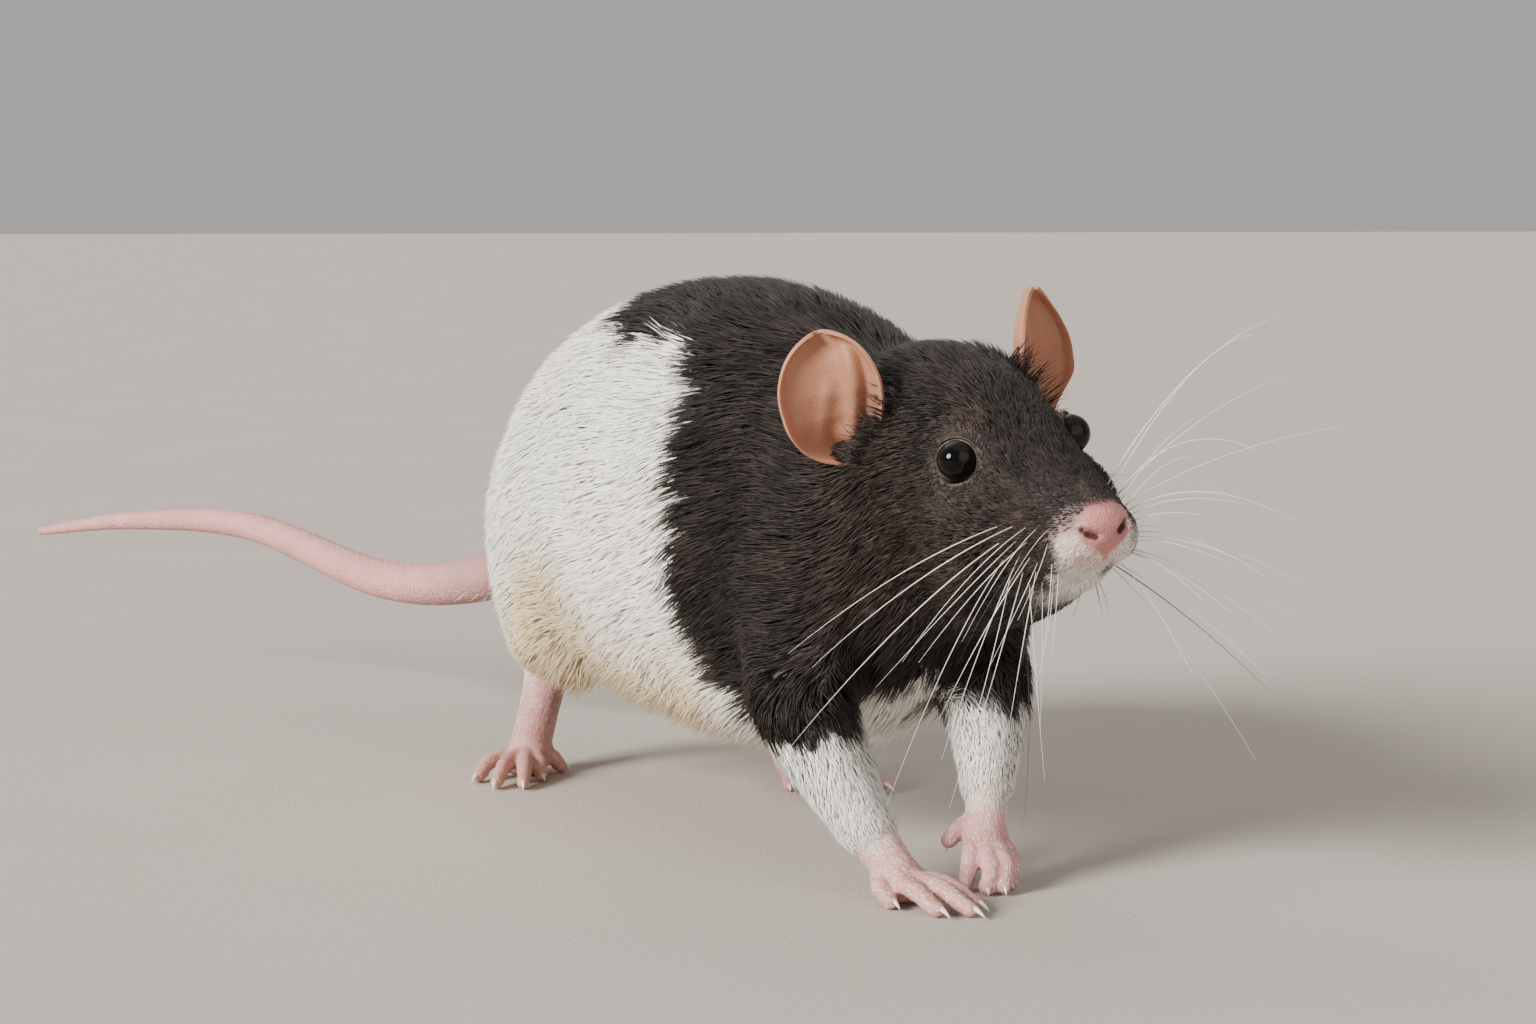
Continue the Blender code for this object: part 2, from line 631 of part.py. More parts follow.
def main():
    start()
    whole = sculpt("whole", head_masses() + body_masses(), BODY_VOXEL, BODY_SMOOTHING)
    dense = thin_out(copy_of(whole, "dense"), HEAD_TRIANGLES)
    body = thin_out(whole, BODY_TRIANGLES)

    head_point, head_normal = HEAD_CUT
    neck_point, neck_normal = NECK_CUT
    behind_head = half_space("behind_head", head_point, head_normal, -GAP / 2)
    before_neck = half_space("before_neck", head_point, Vector(head_normal) * -1, -GAP / 2)
    behind_neck = half_space("behind_neck", neck_point, neck_normal, -GAP / 2)
    before_torso = half_space("before_torso", neck_point, Vector(neck_normal) * -1, -GAP / 2)
    root_point, root_way, _ = tail_point(TAIL_CUTS[0])
    base_point, base_way, _ = tail_point(TAIL_CUTS[1])
    off_rump = half_space("off_rump", root_point, root_way, -GAP / 2)
    before_tail = half_space("before_tail", root_point, Vector(root_way) * -1, -GAP / 2)
    past_base = half_space("past_base", base_point, base_way)
    low = half_space("low", (0, 0, CHEST_BOTTOM), (0, 0, -1), -GAP / 2)
    over_legs = copy_of(before_torso, "over_legs")
    boolean(over_legs, half_space("high", (0, 0, CHEST_BOTTOM), (0, 0, 1), -GAP / 2), "INTERSECT")

    swell = swollen(dense, "swell", GAP)
    head = cut_away(dense, behind_head, low)
    parts = {"head": (carve_face(head), "dark_coat")}
    parts["neck"] = (cut_away(copy_of(body, "neck"), before_neck, behind_neck, low), "dark_coat")
    torso = cut_away(copy_of(body, "torso"), before_torso, off_rump)

    for name, cell in LEG_CELLS.items():
        inside = side_prism(f"{name}_cell", cell["outline"], cell["inner"], -GAP / 2)
        outside = side_prism(f"{name}_space", cell["outline"], cell["inner"], GAP / 2)
        leg = boolean(copy_of(body, name), inside, "INTERSECT")
        point, normal = WRIST_CUTS[name]
        below = half_space("below", point, normal, -GAP / 2, ANKLE_BLOCK)
        above = half_space("above", point, Vector(normal) * -1, -GAP / 2)
        cut_away(leg, over_legs, below)
        boolean(torso, outside, "DIFFERENCE")
        skin = "white_coat" if "hind" in name else "dark_coat"
        parts[name] = (leg, skin)
        fore, side = "fore" in name, name.split("_")[1]
        plan = (FOREFEET if fore else HINDFEET)[side]
        foot_name = name.replace("leg", "foot")
        foot = make_foot(foot_name, plan)
        floor = half_space("floor", (0, 0, 0), (0, 0, -1))
        parts[foot_name] = (cut_away(foot, above, floor), "bare_skin")
    parts["torso"] = (largest(torso), "white_coat")

    tail_base = cut_away(copy_of(body, "tail_base"), before_tail, past_base)
    parts["tail_base"] = (tail_base, "bare_skin")
    parts["tail_middle"] = (tail_length("tail_middle", TAIL_CUTS[1], TAIL_CUTS[2], 9), "bare_skin")
    parts["tail_end"] = (tail_length("tail_end", TAIL_CUTS[2], 1.0, 9), "bare_skin")

    for side, word in ((-1, "right"), (1, "left")):
        ear = cut_away(ear_sheet(side), swell)
        parts[f"ear_{word}"] = (ear, "ear_skin")
        eye = in_head(ball("eye", mirrored(EYE_PLACE, side), (EYE_RADIUS,) * 3, segments=18))
        parts[f"eye_{word}"] = (eye, "eye")
    finish(parts)


main()
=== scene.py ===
"""A hooded pet rat as a still, life-size model: skin, coat, ears, eyes, claws, tail and whiskers.

Shapes are worked out in the animal's own frame, in millimetres: the nose towards -Y, its left
towards +X and the floor at Z = 0. to_model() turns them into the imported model's metres.
"""

import math
from contextlib import contextmanager

import bmesh
import bpy
import numpy as np
from bpy.props import FloatProperty, FloatVectorProperty, IntProperty, PointerProperty
from mathutils import Euler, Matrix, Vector
from mathutils.bvhtree import BVHTree
from mathutils.kdtree import KDTree


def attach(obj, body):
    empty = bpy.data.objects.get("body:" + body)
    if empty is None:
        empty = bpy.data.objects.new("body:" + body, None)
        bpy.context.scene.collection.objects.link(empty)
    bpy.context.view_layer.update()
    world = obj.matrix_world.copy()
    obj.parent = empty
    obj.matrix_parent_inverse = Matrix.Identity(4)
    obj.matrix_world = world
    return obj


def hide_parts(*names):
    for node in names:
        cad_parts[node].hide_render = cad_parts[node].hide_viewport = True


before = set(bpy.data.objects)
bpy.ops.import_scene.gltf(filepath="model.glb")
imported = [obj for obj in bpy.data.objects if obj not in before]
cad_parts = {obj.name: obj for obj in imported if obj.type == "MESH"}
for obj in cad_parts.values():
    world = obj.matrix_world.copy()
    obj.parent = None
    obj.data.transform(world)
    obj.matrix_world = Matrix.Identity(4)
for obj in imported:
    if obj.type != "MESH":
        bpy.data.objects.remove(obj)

bl_info = {
    "name": "Hooded Pet Rat",
    "version": (1, 0, 0),
    "blender": (4, 5, 0),
    "location": "3D View > Sidebar > Rat",
    "description": "Skin, coat, ears, eyes, claws, tail and whiskers of a life-size hooded rat",
    "category": "Add Mesh",
}

MM = 0.001
BODY_ORIGIN = np.array((17.9, -78.5, 0.0))  # the animal's frame in the model's frame, in mm
SEED = 11

# The head's own frame: its origin is midway between the eyes
HEAD_PLACE = np.array((0.0, -79.8, 75.4))
HEAD_TURN = (0.0, -10.0, -4.0)
HEAD_AXES = np.array(Euler([math.radians(a) for a in HEAD_TURN], "YXZ").to_matrix())
NOSE_TIP = np.array((0.0, -27.5, -10.5))
EYE_RADIUS = 3.4
EYE_PLACE = np.array((10.4, 0.0, 0.0))
EYE_AXIS = np.array((0.74, -0.64, 0.2))

# Line down the middle of the head and the trunk, from the nose to the tail's root
TRUNK_LINE = [
    (0.0, -106.0, 63.0), (0.0, -92.0, 63.0), (0.0, -76.0, 63.0), (0.0, -54.0, 60.0),
    (0.0, -28.0, 60.0), (0.0, 0.0, 60.0), (0.0, 25.0, 61.0), (0.0, 50.0, 60.0),
    (-0.5, 74.0, 56.0), (-2.5, 95.0, 44.0),
]
TAIL_PATH = [
    (0.0, 78.0, 54.0), (-3.0, 97.0, 43.0), (-12.0, 119.0, 33.6), (-25.0, 143.0, 32.2),
    (-40.0, 188.0, 40.5), (-56.0, 230.0, 39.0), (-70.0, 264.0, 34.0),
]
TAIL_RADII = [8.0, 6.3, 4.9, 4.15, 3.1, 2.1, 1.0]
TAIL_START = 0.12  # share of the path where the bare tail starts, under the coat of its root
TAIL_RINGS = 190
RING_HEIGHT = 0.035  # share of the tail's radius that a ring of scales stands out

# Limbs: points down the middle from the body to the wrist or heel, and the radius at each
LIMBS = {
    "foreleg_right": (
        [(-18.0, -38.0, 48.0), (-20.5, -46.0, 32.0), (-19.0, -55.5, 19.5), (-15.2, -64.0, 8.0)],
        [11.0, 9.6, 6.8, 4.2],
    ),
    "foreleg_left": (
        [(15.0, -38.0, 48.0), (14.0, -49.0, 33.0), (9.8, -57.0, 23.5), (6.2, -62.4, 13.6)],
        [11.0, 9.0, 6.4, 4.0],
    ),
    "hindleg_right": (
        [(-19.0, 50.0, 50.0), (-21.5, 47.0, 37.5), (-17.5, 66.0, 28.0), (-13.0, 77.0, 20.5)],
        [13.5, 12.4, 8.6, 5.2],
    ),
    "hindleg_left": (
        [(19.0, 43.0, 50.0), (20.0, 29.0, 38.0), (18.6, 36.0, 28.5), (15.8, 43.0, 20.5)],
        [13.5, 12.0, 8.6, 5.2],
    ),
}

# Feet: the shank with its radii, pads as centre and radii, and each digit's base, knuckle,
# last joint on the floor and claw tip
FEET = {
    "forefoot_right": {
        "shank": ([(-17.6, -58.8, 14.6), (-15.2, -64.0, 8.0), (-14.6, -68.6, 5.0)], [4.7, 3.9, 3.3]),
        "pads": [((-14.7, -67.8, 4.6), (4.4, 4.6, 3.3)), ((-14.5, -69.0, 2.2), (4.3, 3.4, 2.2))],
        "digits": [
            [(-16.9, -67.8, 3.8), (-19.0, -70.2, 3.3), (-18.6, -72.6, 1.2), (-18.1, -75.0, 0.5)],
            [(-15.9, -70.2, 4.2), (-15.9, -76.4, 3.5), (-14.9, -81.2, 1.3), (-14.2, -84.2, 0.5)],
            [(-13.5, -70.8, 4.4), (-11.9, -78.0, 3.7), (-10.1, -83.6, 1.3), (-9.2, -86.8, 0.5)],
            [(-11.5, -69.4, 4.0), (-8.9, -75.2, 3.4), (-6.9, -80.0, 1.2), (-6.0, -82.9, 0.5)],
        ],
    },
    "forefoot_left": {
        "shank": ([(8.2, -59.6, 18.8), (6.2, -62.4, 13.6), (4.9, -64.6, 9.2)], [4.3, 3.7, 3.3]),
        "pads": [((4.9, -64.6, 9.0), (4.0, 3.0, 4.0)), ((4.3, -65.6, 6.8), (4.1, 2.5, 2.5))],
        "digits": [
            [(6.9, -65.6, 7.6), (7.7, -68.2, 4.6), (6.8, -69.2, 1.2), (6.4, -70.6, 0.4)],
            [(5.3, -66.6, 7.4), (5.0, -70.6, 4.5), (3.5, -72.2, 1.3), (3.0, -73.9, 0.4)],
            [(3.4, -66.4, 7.2), (2.4, -70.2, 4.4), (0.7, -71.4, 1.3), (0.1, -73.0, 0.4)],
            [(1.9, -65.0, 7.4), (-0.1, -67.4, 4.8), (-1.2, -67.6, 1.2), (-1.6, -69.0, 0.4)],
            [(2.4, -62.6, 10.6), (0.4, -62.2, 9.4), (-0.9, -61.8, 7.6), (-1.4, -61.8, 5.6)],
        ],
    },
    "hindfoot_right": {
        "shank": ([(-13.0, 77.0, 20.5), (-17.2, 72.4, 12.0), (-21.4, 67.6, 5.2)], [4.8, 4.1, 4.2]),
        "pads": [((-21.4, 67.4, 4.4), (4.9, 4.5, 4.0)), ((-23.2, 65.6, 2.3), (4.8, 4.2, 2.3))],
        "digits": [
            [(-26.2, 67.6, 3.8), (-31.4, 65.4, 3.4), (-34.8, 62.4, 1.2), (-37.2, 60.4, 0.5)],
            [(-25.8, 64.8, 4.0), (-30.8, 58.8, 3.6), (-34.4, 54.2, 1.3), (-36.4, 51.4, 0.5)],
            [(-24.2, 63.2, 4.2), (-27.4, 56.4, 3.6), (-29.9, 51.4, 1.3), (-31.2, 48.4, 0.5)],
            [(-21.8, 63.2, 4.0), (-22.8, 59.8, 3.4), (-23.4, 57.4, 1.2), (-23.7, 55.0, 0.5)],
            [(-19.4, 66.0, 3.8), (-17.4, 65.2, 3.2), (-15.6, 65.2, 1.2), (-13.8, 64.4, 0.5)],
        ],
    },
    "hindfoot_left": {
        "shank": ([(15.8, 43.0, 20.5), (18.6, 38.0, 12.0), (21.4, 33.0, 5.2)], [4.8, 4.1, 4.2]),
        "pads": [((21.6, 32.6, 4.4), (4.9, 4.5, 4.0)), ((22.8, 30.4, 2.3), (4.8, 4.2, 2.3))],
        "digits": [
            [(26.4, 31.0, 3.8), (31.0, 27.4, 3.4), (33.6, 24.0, 1.2), (35.2, 21.6, 0.5)],
            [(25.2, 28.4, 4.0), (29.0, 21.6, 3.6), (31.5, 16.4, 1.3), (32.8, 13.4, 0.5)],
            [(23.4, 27.4, 4.2), (25.4, 20.0, 3.6), (26.7, 14.4, 1.3), (27.4, 11.4, 0.5)],
            [(21.0, 27.6, 4.0), (21.4, 21.4, 3.4), (21.4, 17.4, 1.2), (21.4, 14.8, 0.5)],
            [(18.6, 30.2, 3.8), (16.6, 27.2, 3.2), (15.6, 25.0, 1.2), (14.6, 22.8, 0.5)],
        ],
    },
}
DIGIT_RADII = [1.75, 1.6, 1.3]
CLAW_RADII = [0.62, 0.5, 0.3, 0.06]

FLESH = ("head", "neck", "torso", *LIMBS, "tail_base")
SKIN_NODES = (*FLESH, *FEET, "tail_middle", "tail_end")
FLESH_GROWTH = 0.22  # mm that the flesh nodes grow, so that they touch across their 0.3 mm cuts

# Tables for np.interp: places, and the values there, all in mm
HOOD_EDGE = (
    (18, 23, 28, 34, 44, 52, 63, 73, 84, 90, 100),
    (-37, -34, -29, -24.5, -19.5, -18, -18, -16, -12, -9, 0),
)
SADDLE_HALF = ((-10, 20, 30, 37), (20.0, 19.5, 14.0, 0.0))
SADDLE_END, SADDLE_LOW = 33.0, 82
STRIPE_START, STRIPE_END, STRIPE_LOW, STRIPE_MIDDLE, STRIPE_HALF = 15, 104, 45, 3.6, 4.2
ROOT_PATCH = (-8.0, 108.0, 43.0)
MUZZLE_EDGE = (
    (-24.0, -21.0, -20.0, -18.0, -16.5, -12.0, -9.0, -7.0),
    (-10.0, -12.5, -15.5, -19.0, -22.0, -23.8, -25.4, -31.0),
)
MUZZLE_BLUR = ((-22.0, -17.0, -12.0), (4.5, 2.0, 1.2))
NOSE_HALF = ((-15.4, -14.2, -12.6, -10.6, -8.6, -7.2), (0.3, 1.5, 3.5, 4.4, 3.9, 2.6))
WHISKER_PAD = (8.2, -15.0, -13.5)
WHISKER_ROW_GAP = 2.6
CHEEK = (14, 8.0, -14.0)
GROIN = (-24, 32, 34)

# The coat from the nose back, by place in the head's own frame; the trunk's depth comes last
DEPTH_PLACES = (-27, -23, -17, -8, 4, 16, 30, 48)
DEPTHS = (0.0, 0.25, 0.55, 0.9, 1.3, 2.0, 2.7)
HAIR_LENGTHS = ((-27, -22, -14, -6, 6, 18, 32, 50), (0.8, 1.2, 2.2, 3.2, 4.8, 7.0, 9.4, 11.2))
TUFTS_PER_AREA = ((-27, -18, -4, 14, 30, 46), (12.0, 10.0, 7.6, 4.8, 3.2, 2.1))

# The coat down a limb and out along the tail's root, by share of their lines
LEG_DEPTH_SHARES, LEG_DEPTHS = (0.2, 0.45, 0.75, 1.0), (2.6, 1.1, 0.35)
LEG_LENGTHS = ((0.2, 0.45, 0.7, 1.0), (10.0, 7.0, 3.6, 1.8))
LEG_TUFTS = ((0.3, 0.6, 0.8, 1.0), (2.4, 4.5, 7.0, 6.0))
ROOT_DEPTH_SHARES, ROOT_DEPTHS = (0.0, 0.05, 0.11, 0.15, 0.19), (2.0, 0.7, 0.9, 1.9)
ROOT_LENGTHS = ((0.0, 0.09, 0.16, 0.22), (12.0, 8.5, 7.5, 7.0))
ROOT_TUFTS = ((0.06, 0.12, 0.19, 0.215), (1.0, 0.7, 0.35, 0.0))
EYE_LENGTHS = ((3.4, 5.0, 12.0, 18.0), (0.6, 1.3, 3.6, 20.0))
FOOT_LENGTH, FOOT_TUFTS = 1.2, 2.4


class RatSkin(bpy.types.PropertyGroup):
    voxel: FloatProperty(
        name="Fineness", description="Size of the cells the skin is fused in, in millimetres",
        default=0.42, min=0.3, max=1.5,
    )
    triangles: IntProperty(
        name="Triangles", description="Triangles kept on the skin", default=170000, min=20000,
    )
    bare: FloatVectorProperty(
        name="Bare skin", description="Colour of the feet and tail", subtype="COLOR",
        default=(0.50, 0.232, 0.212),
    )
    nose: FloatVectorProperty(
        name="Nose", description="Colour of the nose pad", subtype="COLOR",
        default=(0.60, 0.25, 0.235),
    )
    ear: FloatVectorProperty(
        name="Ears", description="Colour of the ears' thin skin", subtype="COLOR",
        default=(0.36, 0.165, 0.095),
    )


class RatCoat(bpy.types.PropertyGroup):
    tufts: IntProperty(
        name="Tufts", description="Tufts of hair in the whole coat", default=149500, min=1000,
    )
    width: FloatProperty(
        name="Tuft width", description="Width of a tuft on the trunk, in millimetres",
        default=0.34, min=0.1, max=2.0,
    )
    depth: FloatProperty(
        name="Depth", description="How far the skin of the trunk lies under the coat, in millimetres",
        default=3.4, min=0.5, max=6.0,
    )
    hood: FloatVectorProperty(
        name="Hood", description="Colour of the dark hood", subtype="COLOR",
        default=(0.0245, 0.0195, 0.018),
    )
    brown: FloatVectorProperty(
        name="Brown", description="Lighter brown by the whiskers and over the eyes", subtype="COLOR",
        default=(0.056, 0.042, 0.034),
    )
    white: FloatVectorProperty(
        name="White", description="Colour of the white coat", subtype="COLOR",
        default=(0.90, 0.88, 0.81),
    )
    # The tinge also serves as painted shade under the belly
    tinge: FloatVectorProperty(
        name="Tinge", description="Cream tinge of the groin and belly", subtype="COLOR",
        default=(0.71, 0.57, 0.35),
    )


class RatWhiskers(bpy.types.PropertyGroup):
    length: FloatProperty(
        name="Length", description="Length of the longest whiskers, in millimetres",
        default=54.0, min=10.0, max=70.0,
    )
    thickness: FloatProperty(
        name="Thickness", description="Radius of a long whisker at its root, in millimetres",
        default=0.12, min=0.02, max=0.4,
    )


class RatStage(bpy.types.PropertyGroup):
    floor: FloatVectorProperty(
        name="Floor", description="Colour of the floor", subtype="COLOR",
        default=(0.49, 0.436, 0.398),
    )
    key: FloatProperty(
        name="Key light", description="Strength of the large soft light", default=7.2, min=0.0,
    )
    sky: FloatProperty(
        name="Sky", description="Strength of the light from all round", default=0.44, min=0.0,
    )


def to_model(points):
    """Places of the animal's frame, in mm, as places of the model, in metres."""
    return (np.asarray(points, float) + BODY_ORIGIN) * MM


def to_body(points):
    """Places of the model, in metres, as places of the animal's frame, in mm."""
    return np.asarray(points, float) / MM - BODY_ORIGIN


def in_head(points):
    """Points of the animal's frame in the head's own frame."""
    return (points - HEAD_PLACE) @ HEAD_AXES


def from_head(points):
    """Points of the head's own frame in the animal's frame."""
    return np.asarray(points, float) @ HEAD_AXES.T + HEAD_PLACE


def eye_place(side):
    """The middle of an eye in the head's frame: side is -1 for the right and 1 for the left."""
    return EYE_PLACE * (side, 1, 1)


def from_eye(head, side):
    """How far rows of the head's frame lie from the middle of an eye."""
    return np.linalg.norm(head - eye_place(side), axis=1)


def from_pair(head, place):
    """How far rows of the head's frame lie from a place on their own half of the head."""
    x, y, z = place
    return np.linalg.norm(head - (np.sign(head[:, :1]) * (x, 0, 0) + (0, y, z)), axis=1)


def between(first, second, share):
    """The values a share of the way from the first to the second."""
    return first + (second - first) * share


def step(low, high, x):
    """A smooth rise from 0 at low to 1 at high."""
    t = np.clip((x - low) / (high - low), 0.0, 1.0)
    return t * t * (3 - 2 * t)


def unit(rows):
    """Each row brought to a length of 1."""
    return rows / np.maximum(np.linalg.norm(rows, axis=-1, keepdims=True), 1e-9)


def ripple(points, size, seed):
    """Smooth noise from -1 to 1 over points, with lumps of about this size in mm."""
    draw = np.random.default_rng(seed)
    ways = unit(draw.normal(size=(7, 3))) * draw.uniform(0.7, 1.5, (7, 1)) * math.pi / size
    turns = draw.uniform(0, 2 * math.pi, 7)
    return np.sin(points @ ways.T + turns).sum(1) / 3.2


def catmull(values, per_span):
    """Points on a smooth curve through the rows of values, per_span steps to each span."""
    rows = np.array(values, float)
    padded = np.vstack([2 * rows[0] - rows[1], rows, 2 * rows[-1] - rows[-2]])
    out = []
    for i in range(len(rows) - 1):
        a, b, c, d = padded[i : i + 4]
        for t in np.arange(per_span) / per_span:
            square = (2 * a - 5 * b + 4 * c - d) * t**2
            cube = (3 * b - a - 3 * c + d) * t**3
            out.append(0.5 * (2 * b + (c - a) * t + square + cube))
    out.append(rows[-1])
    return np.array(out)


def along_line(points, line):
    """For each point: the nearest place on a line as a share, its distance, the line's way, the place."""
    line = np.array(line, float)
    lengths = np.linalg.norm(np.diff(line, axis=0), axis=1)
    starts = np.concatenate([[0.0], np.cumsum(lengths)])
    best = np.full(len(points), np.inf)
    share = np.zeros(len(points))
    way = np.zeros((len(points), 3))
    nearest = np.zeros((len(points), 3))
    for i, size in enumerate(lengths):
        if size == 0:
            continue
        a, span = line[i], line[i + 1] - line[i]
        t = np.clip((points - a) @ span / size**2, 0, 1)
        place = a + t[:, None] * span
        away = np.linalg.norm(points - place, axis=1)
        closer = away < best
        best[closer] = away[closer]
        share[closer] = (starts[i] + t[closer] * size) / starts[-1]
        way[closer] = span / size
        nearest[closer] = place[closer]
    return share, best, way, nearest


def limb_shares(points):
    """For each limb: how far each point belongs to it, the place along it and its way there."""
    out = {}
    for name, (line, radii) in LIMBS.items():
        share, away, way, _ = along_line(points, line)
        radius = np.interp(share, np.linspace(0, 1, len(radii)), radii)
        belongs = step(1.75, 1.2, away / radius) * step(0.22, 0.5, share)
        out[name] = (belongs, share, way)
    return out


def foot_line(plan, toe):
    """The middle line of a foot, from its shank to the last joint of one toe."""
    return plan["shank"][0] + [plan["digits"][toe][2]]


def foot_share(points):
    """1 on the feet and the bare ankles, 0 from the fur line up."""
    bare = np.zeros(len(points))
    for name, plan in FEET.items():
        share, away, _, _ = along_line(points, foot_line(plan, 1))
        start = (0.05, 0.5) if "fore" in name else (-0.1, 0.2)
        bare = np.maximum(bare, step(*start, share) * step(14.0, 9.0, away))
    low = step(12.0, 7.0, points[:, 2])
    return np.maximum(bare, low * (points[:, 2] < 14))


def tail_share(points):
    """1 on the bare tail, 0 on the rump."""
    share, away, _, _ = along_line(points, TAIL_PATH)
    return step(0.13, 0.21, share) * step(22.0, 14.0, away)


def pigment(points):
    """1 in the dark hood, its saddle, the stripe and the patch at the tail's root, 0 in the white."""
    x, y, z = points.T
    teeth = 1.9 * ripple(points * (1.0, 0.35, 1.0), 2.4, 4)
    edge = np.interp(z, *HOOD_EDGE) * np.where(x < 0, 1.0, 0.93)
    hood = edge + 2.0 * ripple(points, 11.0, 3) + teeth - y
    half = np.interp(y, *SADDLE_HALF) + 1.6 * ripple(points, 8.0, 5) + teeth
    behind = SADDLE_END + 3 * ripple(points, 5.0, 6) - y
    saddle = np.minimum.reduce([half - np.abs(x), behind, z - SADDLE_LOW])
    across = x - STRIPE_MIDDLE - 2.0 * ripple(points, 19.0, 16)
    stripe = STRIPE_HALF + 1.3 * teeth + 3.0 * ripple(points, 15.0, 14) - np.abs(across)
    stripe = np.minimum.reduce([stripe, STRIPE_END - y, y - STRIPE_START, z - STRIPE_LOW])
    dark = step(-1.2, 1.2, np.maximum.reduce([hood, saddle, stripe]))

    sock = np.where(x < -2, 27.2, 29.8) + 7.0 * step(9.5, 6.0, np.abs(x + 3.0))
    sock = sock + 1.4 * ripple(points, 2.6, 8)
    dark = dark * (1 - step(sock + 0.9, sock - 0.9, z) * (y < -24))
    chest = step(34, 27, z) * step(15.0, 10.0, np.abs(x + 2)) * step(-66, -58, y)
    dark = dark * (1 - chest)

    head = in_head(points)
    hy = head[:, 1] + 0.9 * ripple(points, 3.0, 12)
    hz = head[:, 2] + 0.9 * ripple(points, 3.0, 13)
    limit, soft = np.interp(hz, *MUZZLE_EDGE), np.interp(hz, *MUZZLE_BLUR)
    dark = dark * (1 - step(limit + soft, limit - soft, hy))
    spot = np.linalg.norm((points - ROOT_PATCH) * (0.8, 0.6, 1.0), axis=1)
    return np.maximum(dark, 0.8 * step(10.0, 4.0, spot + ripple(points, 2.0, 9)))


def browns(points):
    """Where the hood is lighter and browner: round the whiskers, over the eyes, the cheeks."""
    head = in_head(points)
    side, hy, hz = np.abs(head[:, 0]), head[:, 1], head[:, 2]
    pads = 0.9 * step(9.5, 3.0, from_pair(head, WHISKER_PAD))
    cheek = 0.35 * step(26, 10, from_pair(head, CHEEK))
    brow = 0.8 * step(4.6, 1.2, np.hypot(hy - 0.8, (hz - 5.2) * 1.1)) * (side > 4)
    bridge = step(1.5, 0.5, np.abs(head[:, 0] + 0.3)) * step(-3.0, -5.0, hz) * (hy < -17)
    speckle = 0.2 * np.clip(ripple(points, 6.0, 21), 0, 1) + 0.1 * step(30, 0, hy)
    lines = step(-0.2, 0.7, np.sin((hz + 0.35 * hy) * 2 * math.pi / WHISKER_ROW_GAP))
    lines = lines * step(-4.0, -8.0, hy) * step(-21.0, -17.0, hy) * (side > 5)
    whole = np.maximum.reduce([pads, brow, cheek, bridge]) + speckle
    return np.clip(whole * (1 - 0.55 * lines), 0, 1)


def lips(points):
    """1 where thin white hairs let the pink of the lips and the muzzle's end through."""
    head = in_head(points)
    return step(-20.0, -23.5, head[:, 1] - 0.12 * (head[:, 2] + 14)) * step(-6.0, -9.5, head[:, 2])


def cream_and_belly_shade(points):
    """Where the white coat is creamy: the groin, a little on the flank, and the belly, where the cream is
    partly painted shade.
    """
    _, y, z = points.T
    groin = step(26, 8, np.linalg.norm((points - GROIN) * (0.6, 1.0, 1.0), axis=1))
    # The belly's share is partly its cream and partly painted shade on the underside
    belly = step(46, 26, z) * step(-30, -10, y) * step(75, 55, y)
    return np.clip(np.maximum(groin, belly) + 0.08 * ripple(points, 14.0, 31), 0, 1)


def pinks(points):
    """1 on the bare nose pad."""
    head = in_head(points)
    half = np.interp(head[:, 2], *NOSE_HALF)
    nose = step(0.8, -0.6, np.abs(head[:, 0]) - half + 0.4 * ripple(points, 1.3, 15))
    return nose * step(-23.2, -24.4, head[:, 1]) * step(-6.2, -8.2, head[:, 2])


def coat_depth(points, trunk):
    """How deep the skin lies under the tips of the coat, in mm."""
    _, y, z = points.T
    head = in_head(points)
    deep = np.interp(head[:, 1], DEPTH_PLACES, (*DEPTHS, trunk))
    deep = deep - 2.0 * (step(38, 26, z) * step(-60, -34, y) * step(60, 30, y))
    for belongs, share, _ in limb_shares(points).values():
        leg = np.interp(share, LEG_DEPTH_SHARES, (trunk, *LEG_DEPTHS))
        deep = between(deep, np.minimum(deep, leg), belongs)
    for side in (-1, 1):
        deep = deep * (0.3 + 0.7 * step(4.6, 8.5, from_eye(head, side)))
    share, away, _, _ = along_line(points, TAIL_PATH)
    root = between(deep, np.interp(share, ROOT_DEPTH_SHARES, (trunk, *ROOT_DEPTHS)), step(17.0, 12.0, away))
    deep = np.where(share > 0.0, np.minimum(deep, root), deep)
    return deep * (1 - foot_share(points))


def coat_length(points):
    """How long the hairs are, in mm."""
    _, y, z = points.T
    head = in_head(points)
    size = np.interp(head[:, 1], *HAIR_LENGTHS)
    belly = step(40, 26, z) * step(-60, -30, y)
    size = size + 3.0 * belly + 1.5 * step(10, 60, y)
    for belongs, share, _ in limb_shares(points).values():
        size = between(size, np.minimum(size, np.interp(share, *LEG_LENGTHS)), belongs)
    for side in (-1, 1):
        size = np.minimum(size, np.interp(from_eye(head, side), *EYE_LENGTHS))
    share, away, _, _ = along_line(points, TAIL_PATH)
    root = np.minimum(size, np.interp(share, *ROOT_LENGTHS))
    size = np.where((away < 16) & (share > 0), root, size)
    return between(size, FOOT_LENGTH, foot_share(points))


def coat_density(points):
    """Tufts to each square mm, before the whole is brought to the number asked for."""
    head = in_head(points)
    many = np.interp(head[:, 1], *TUFTS_PER_AREA)
    for belongs, share, _ in limb_shares(points).values():
        many = between(many, np.interp(share, *LEG_TUFTS), belongs)
    many = between(many, FOOT_TUFTS, foot_share(points))
    many = many * (1 - 0.5 * lips(points))
    for side in (-1, 1):
        many = many * step(3.7, 4.1, from_eye(head, side))
    share, away, _, _ = along_line(points, TAIL_PATH)
    many = np.where((away < 16) & (share > 0.06), many * np.interp(share, *ROOT_TUFTS), many)
    return many * (1 - step(0.35, 0.75, pinks(points)))


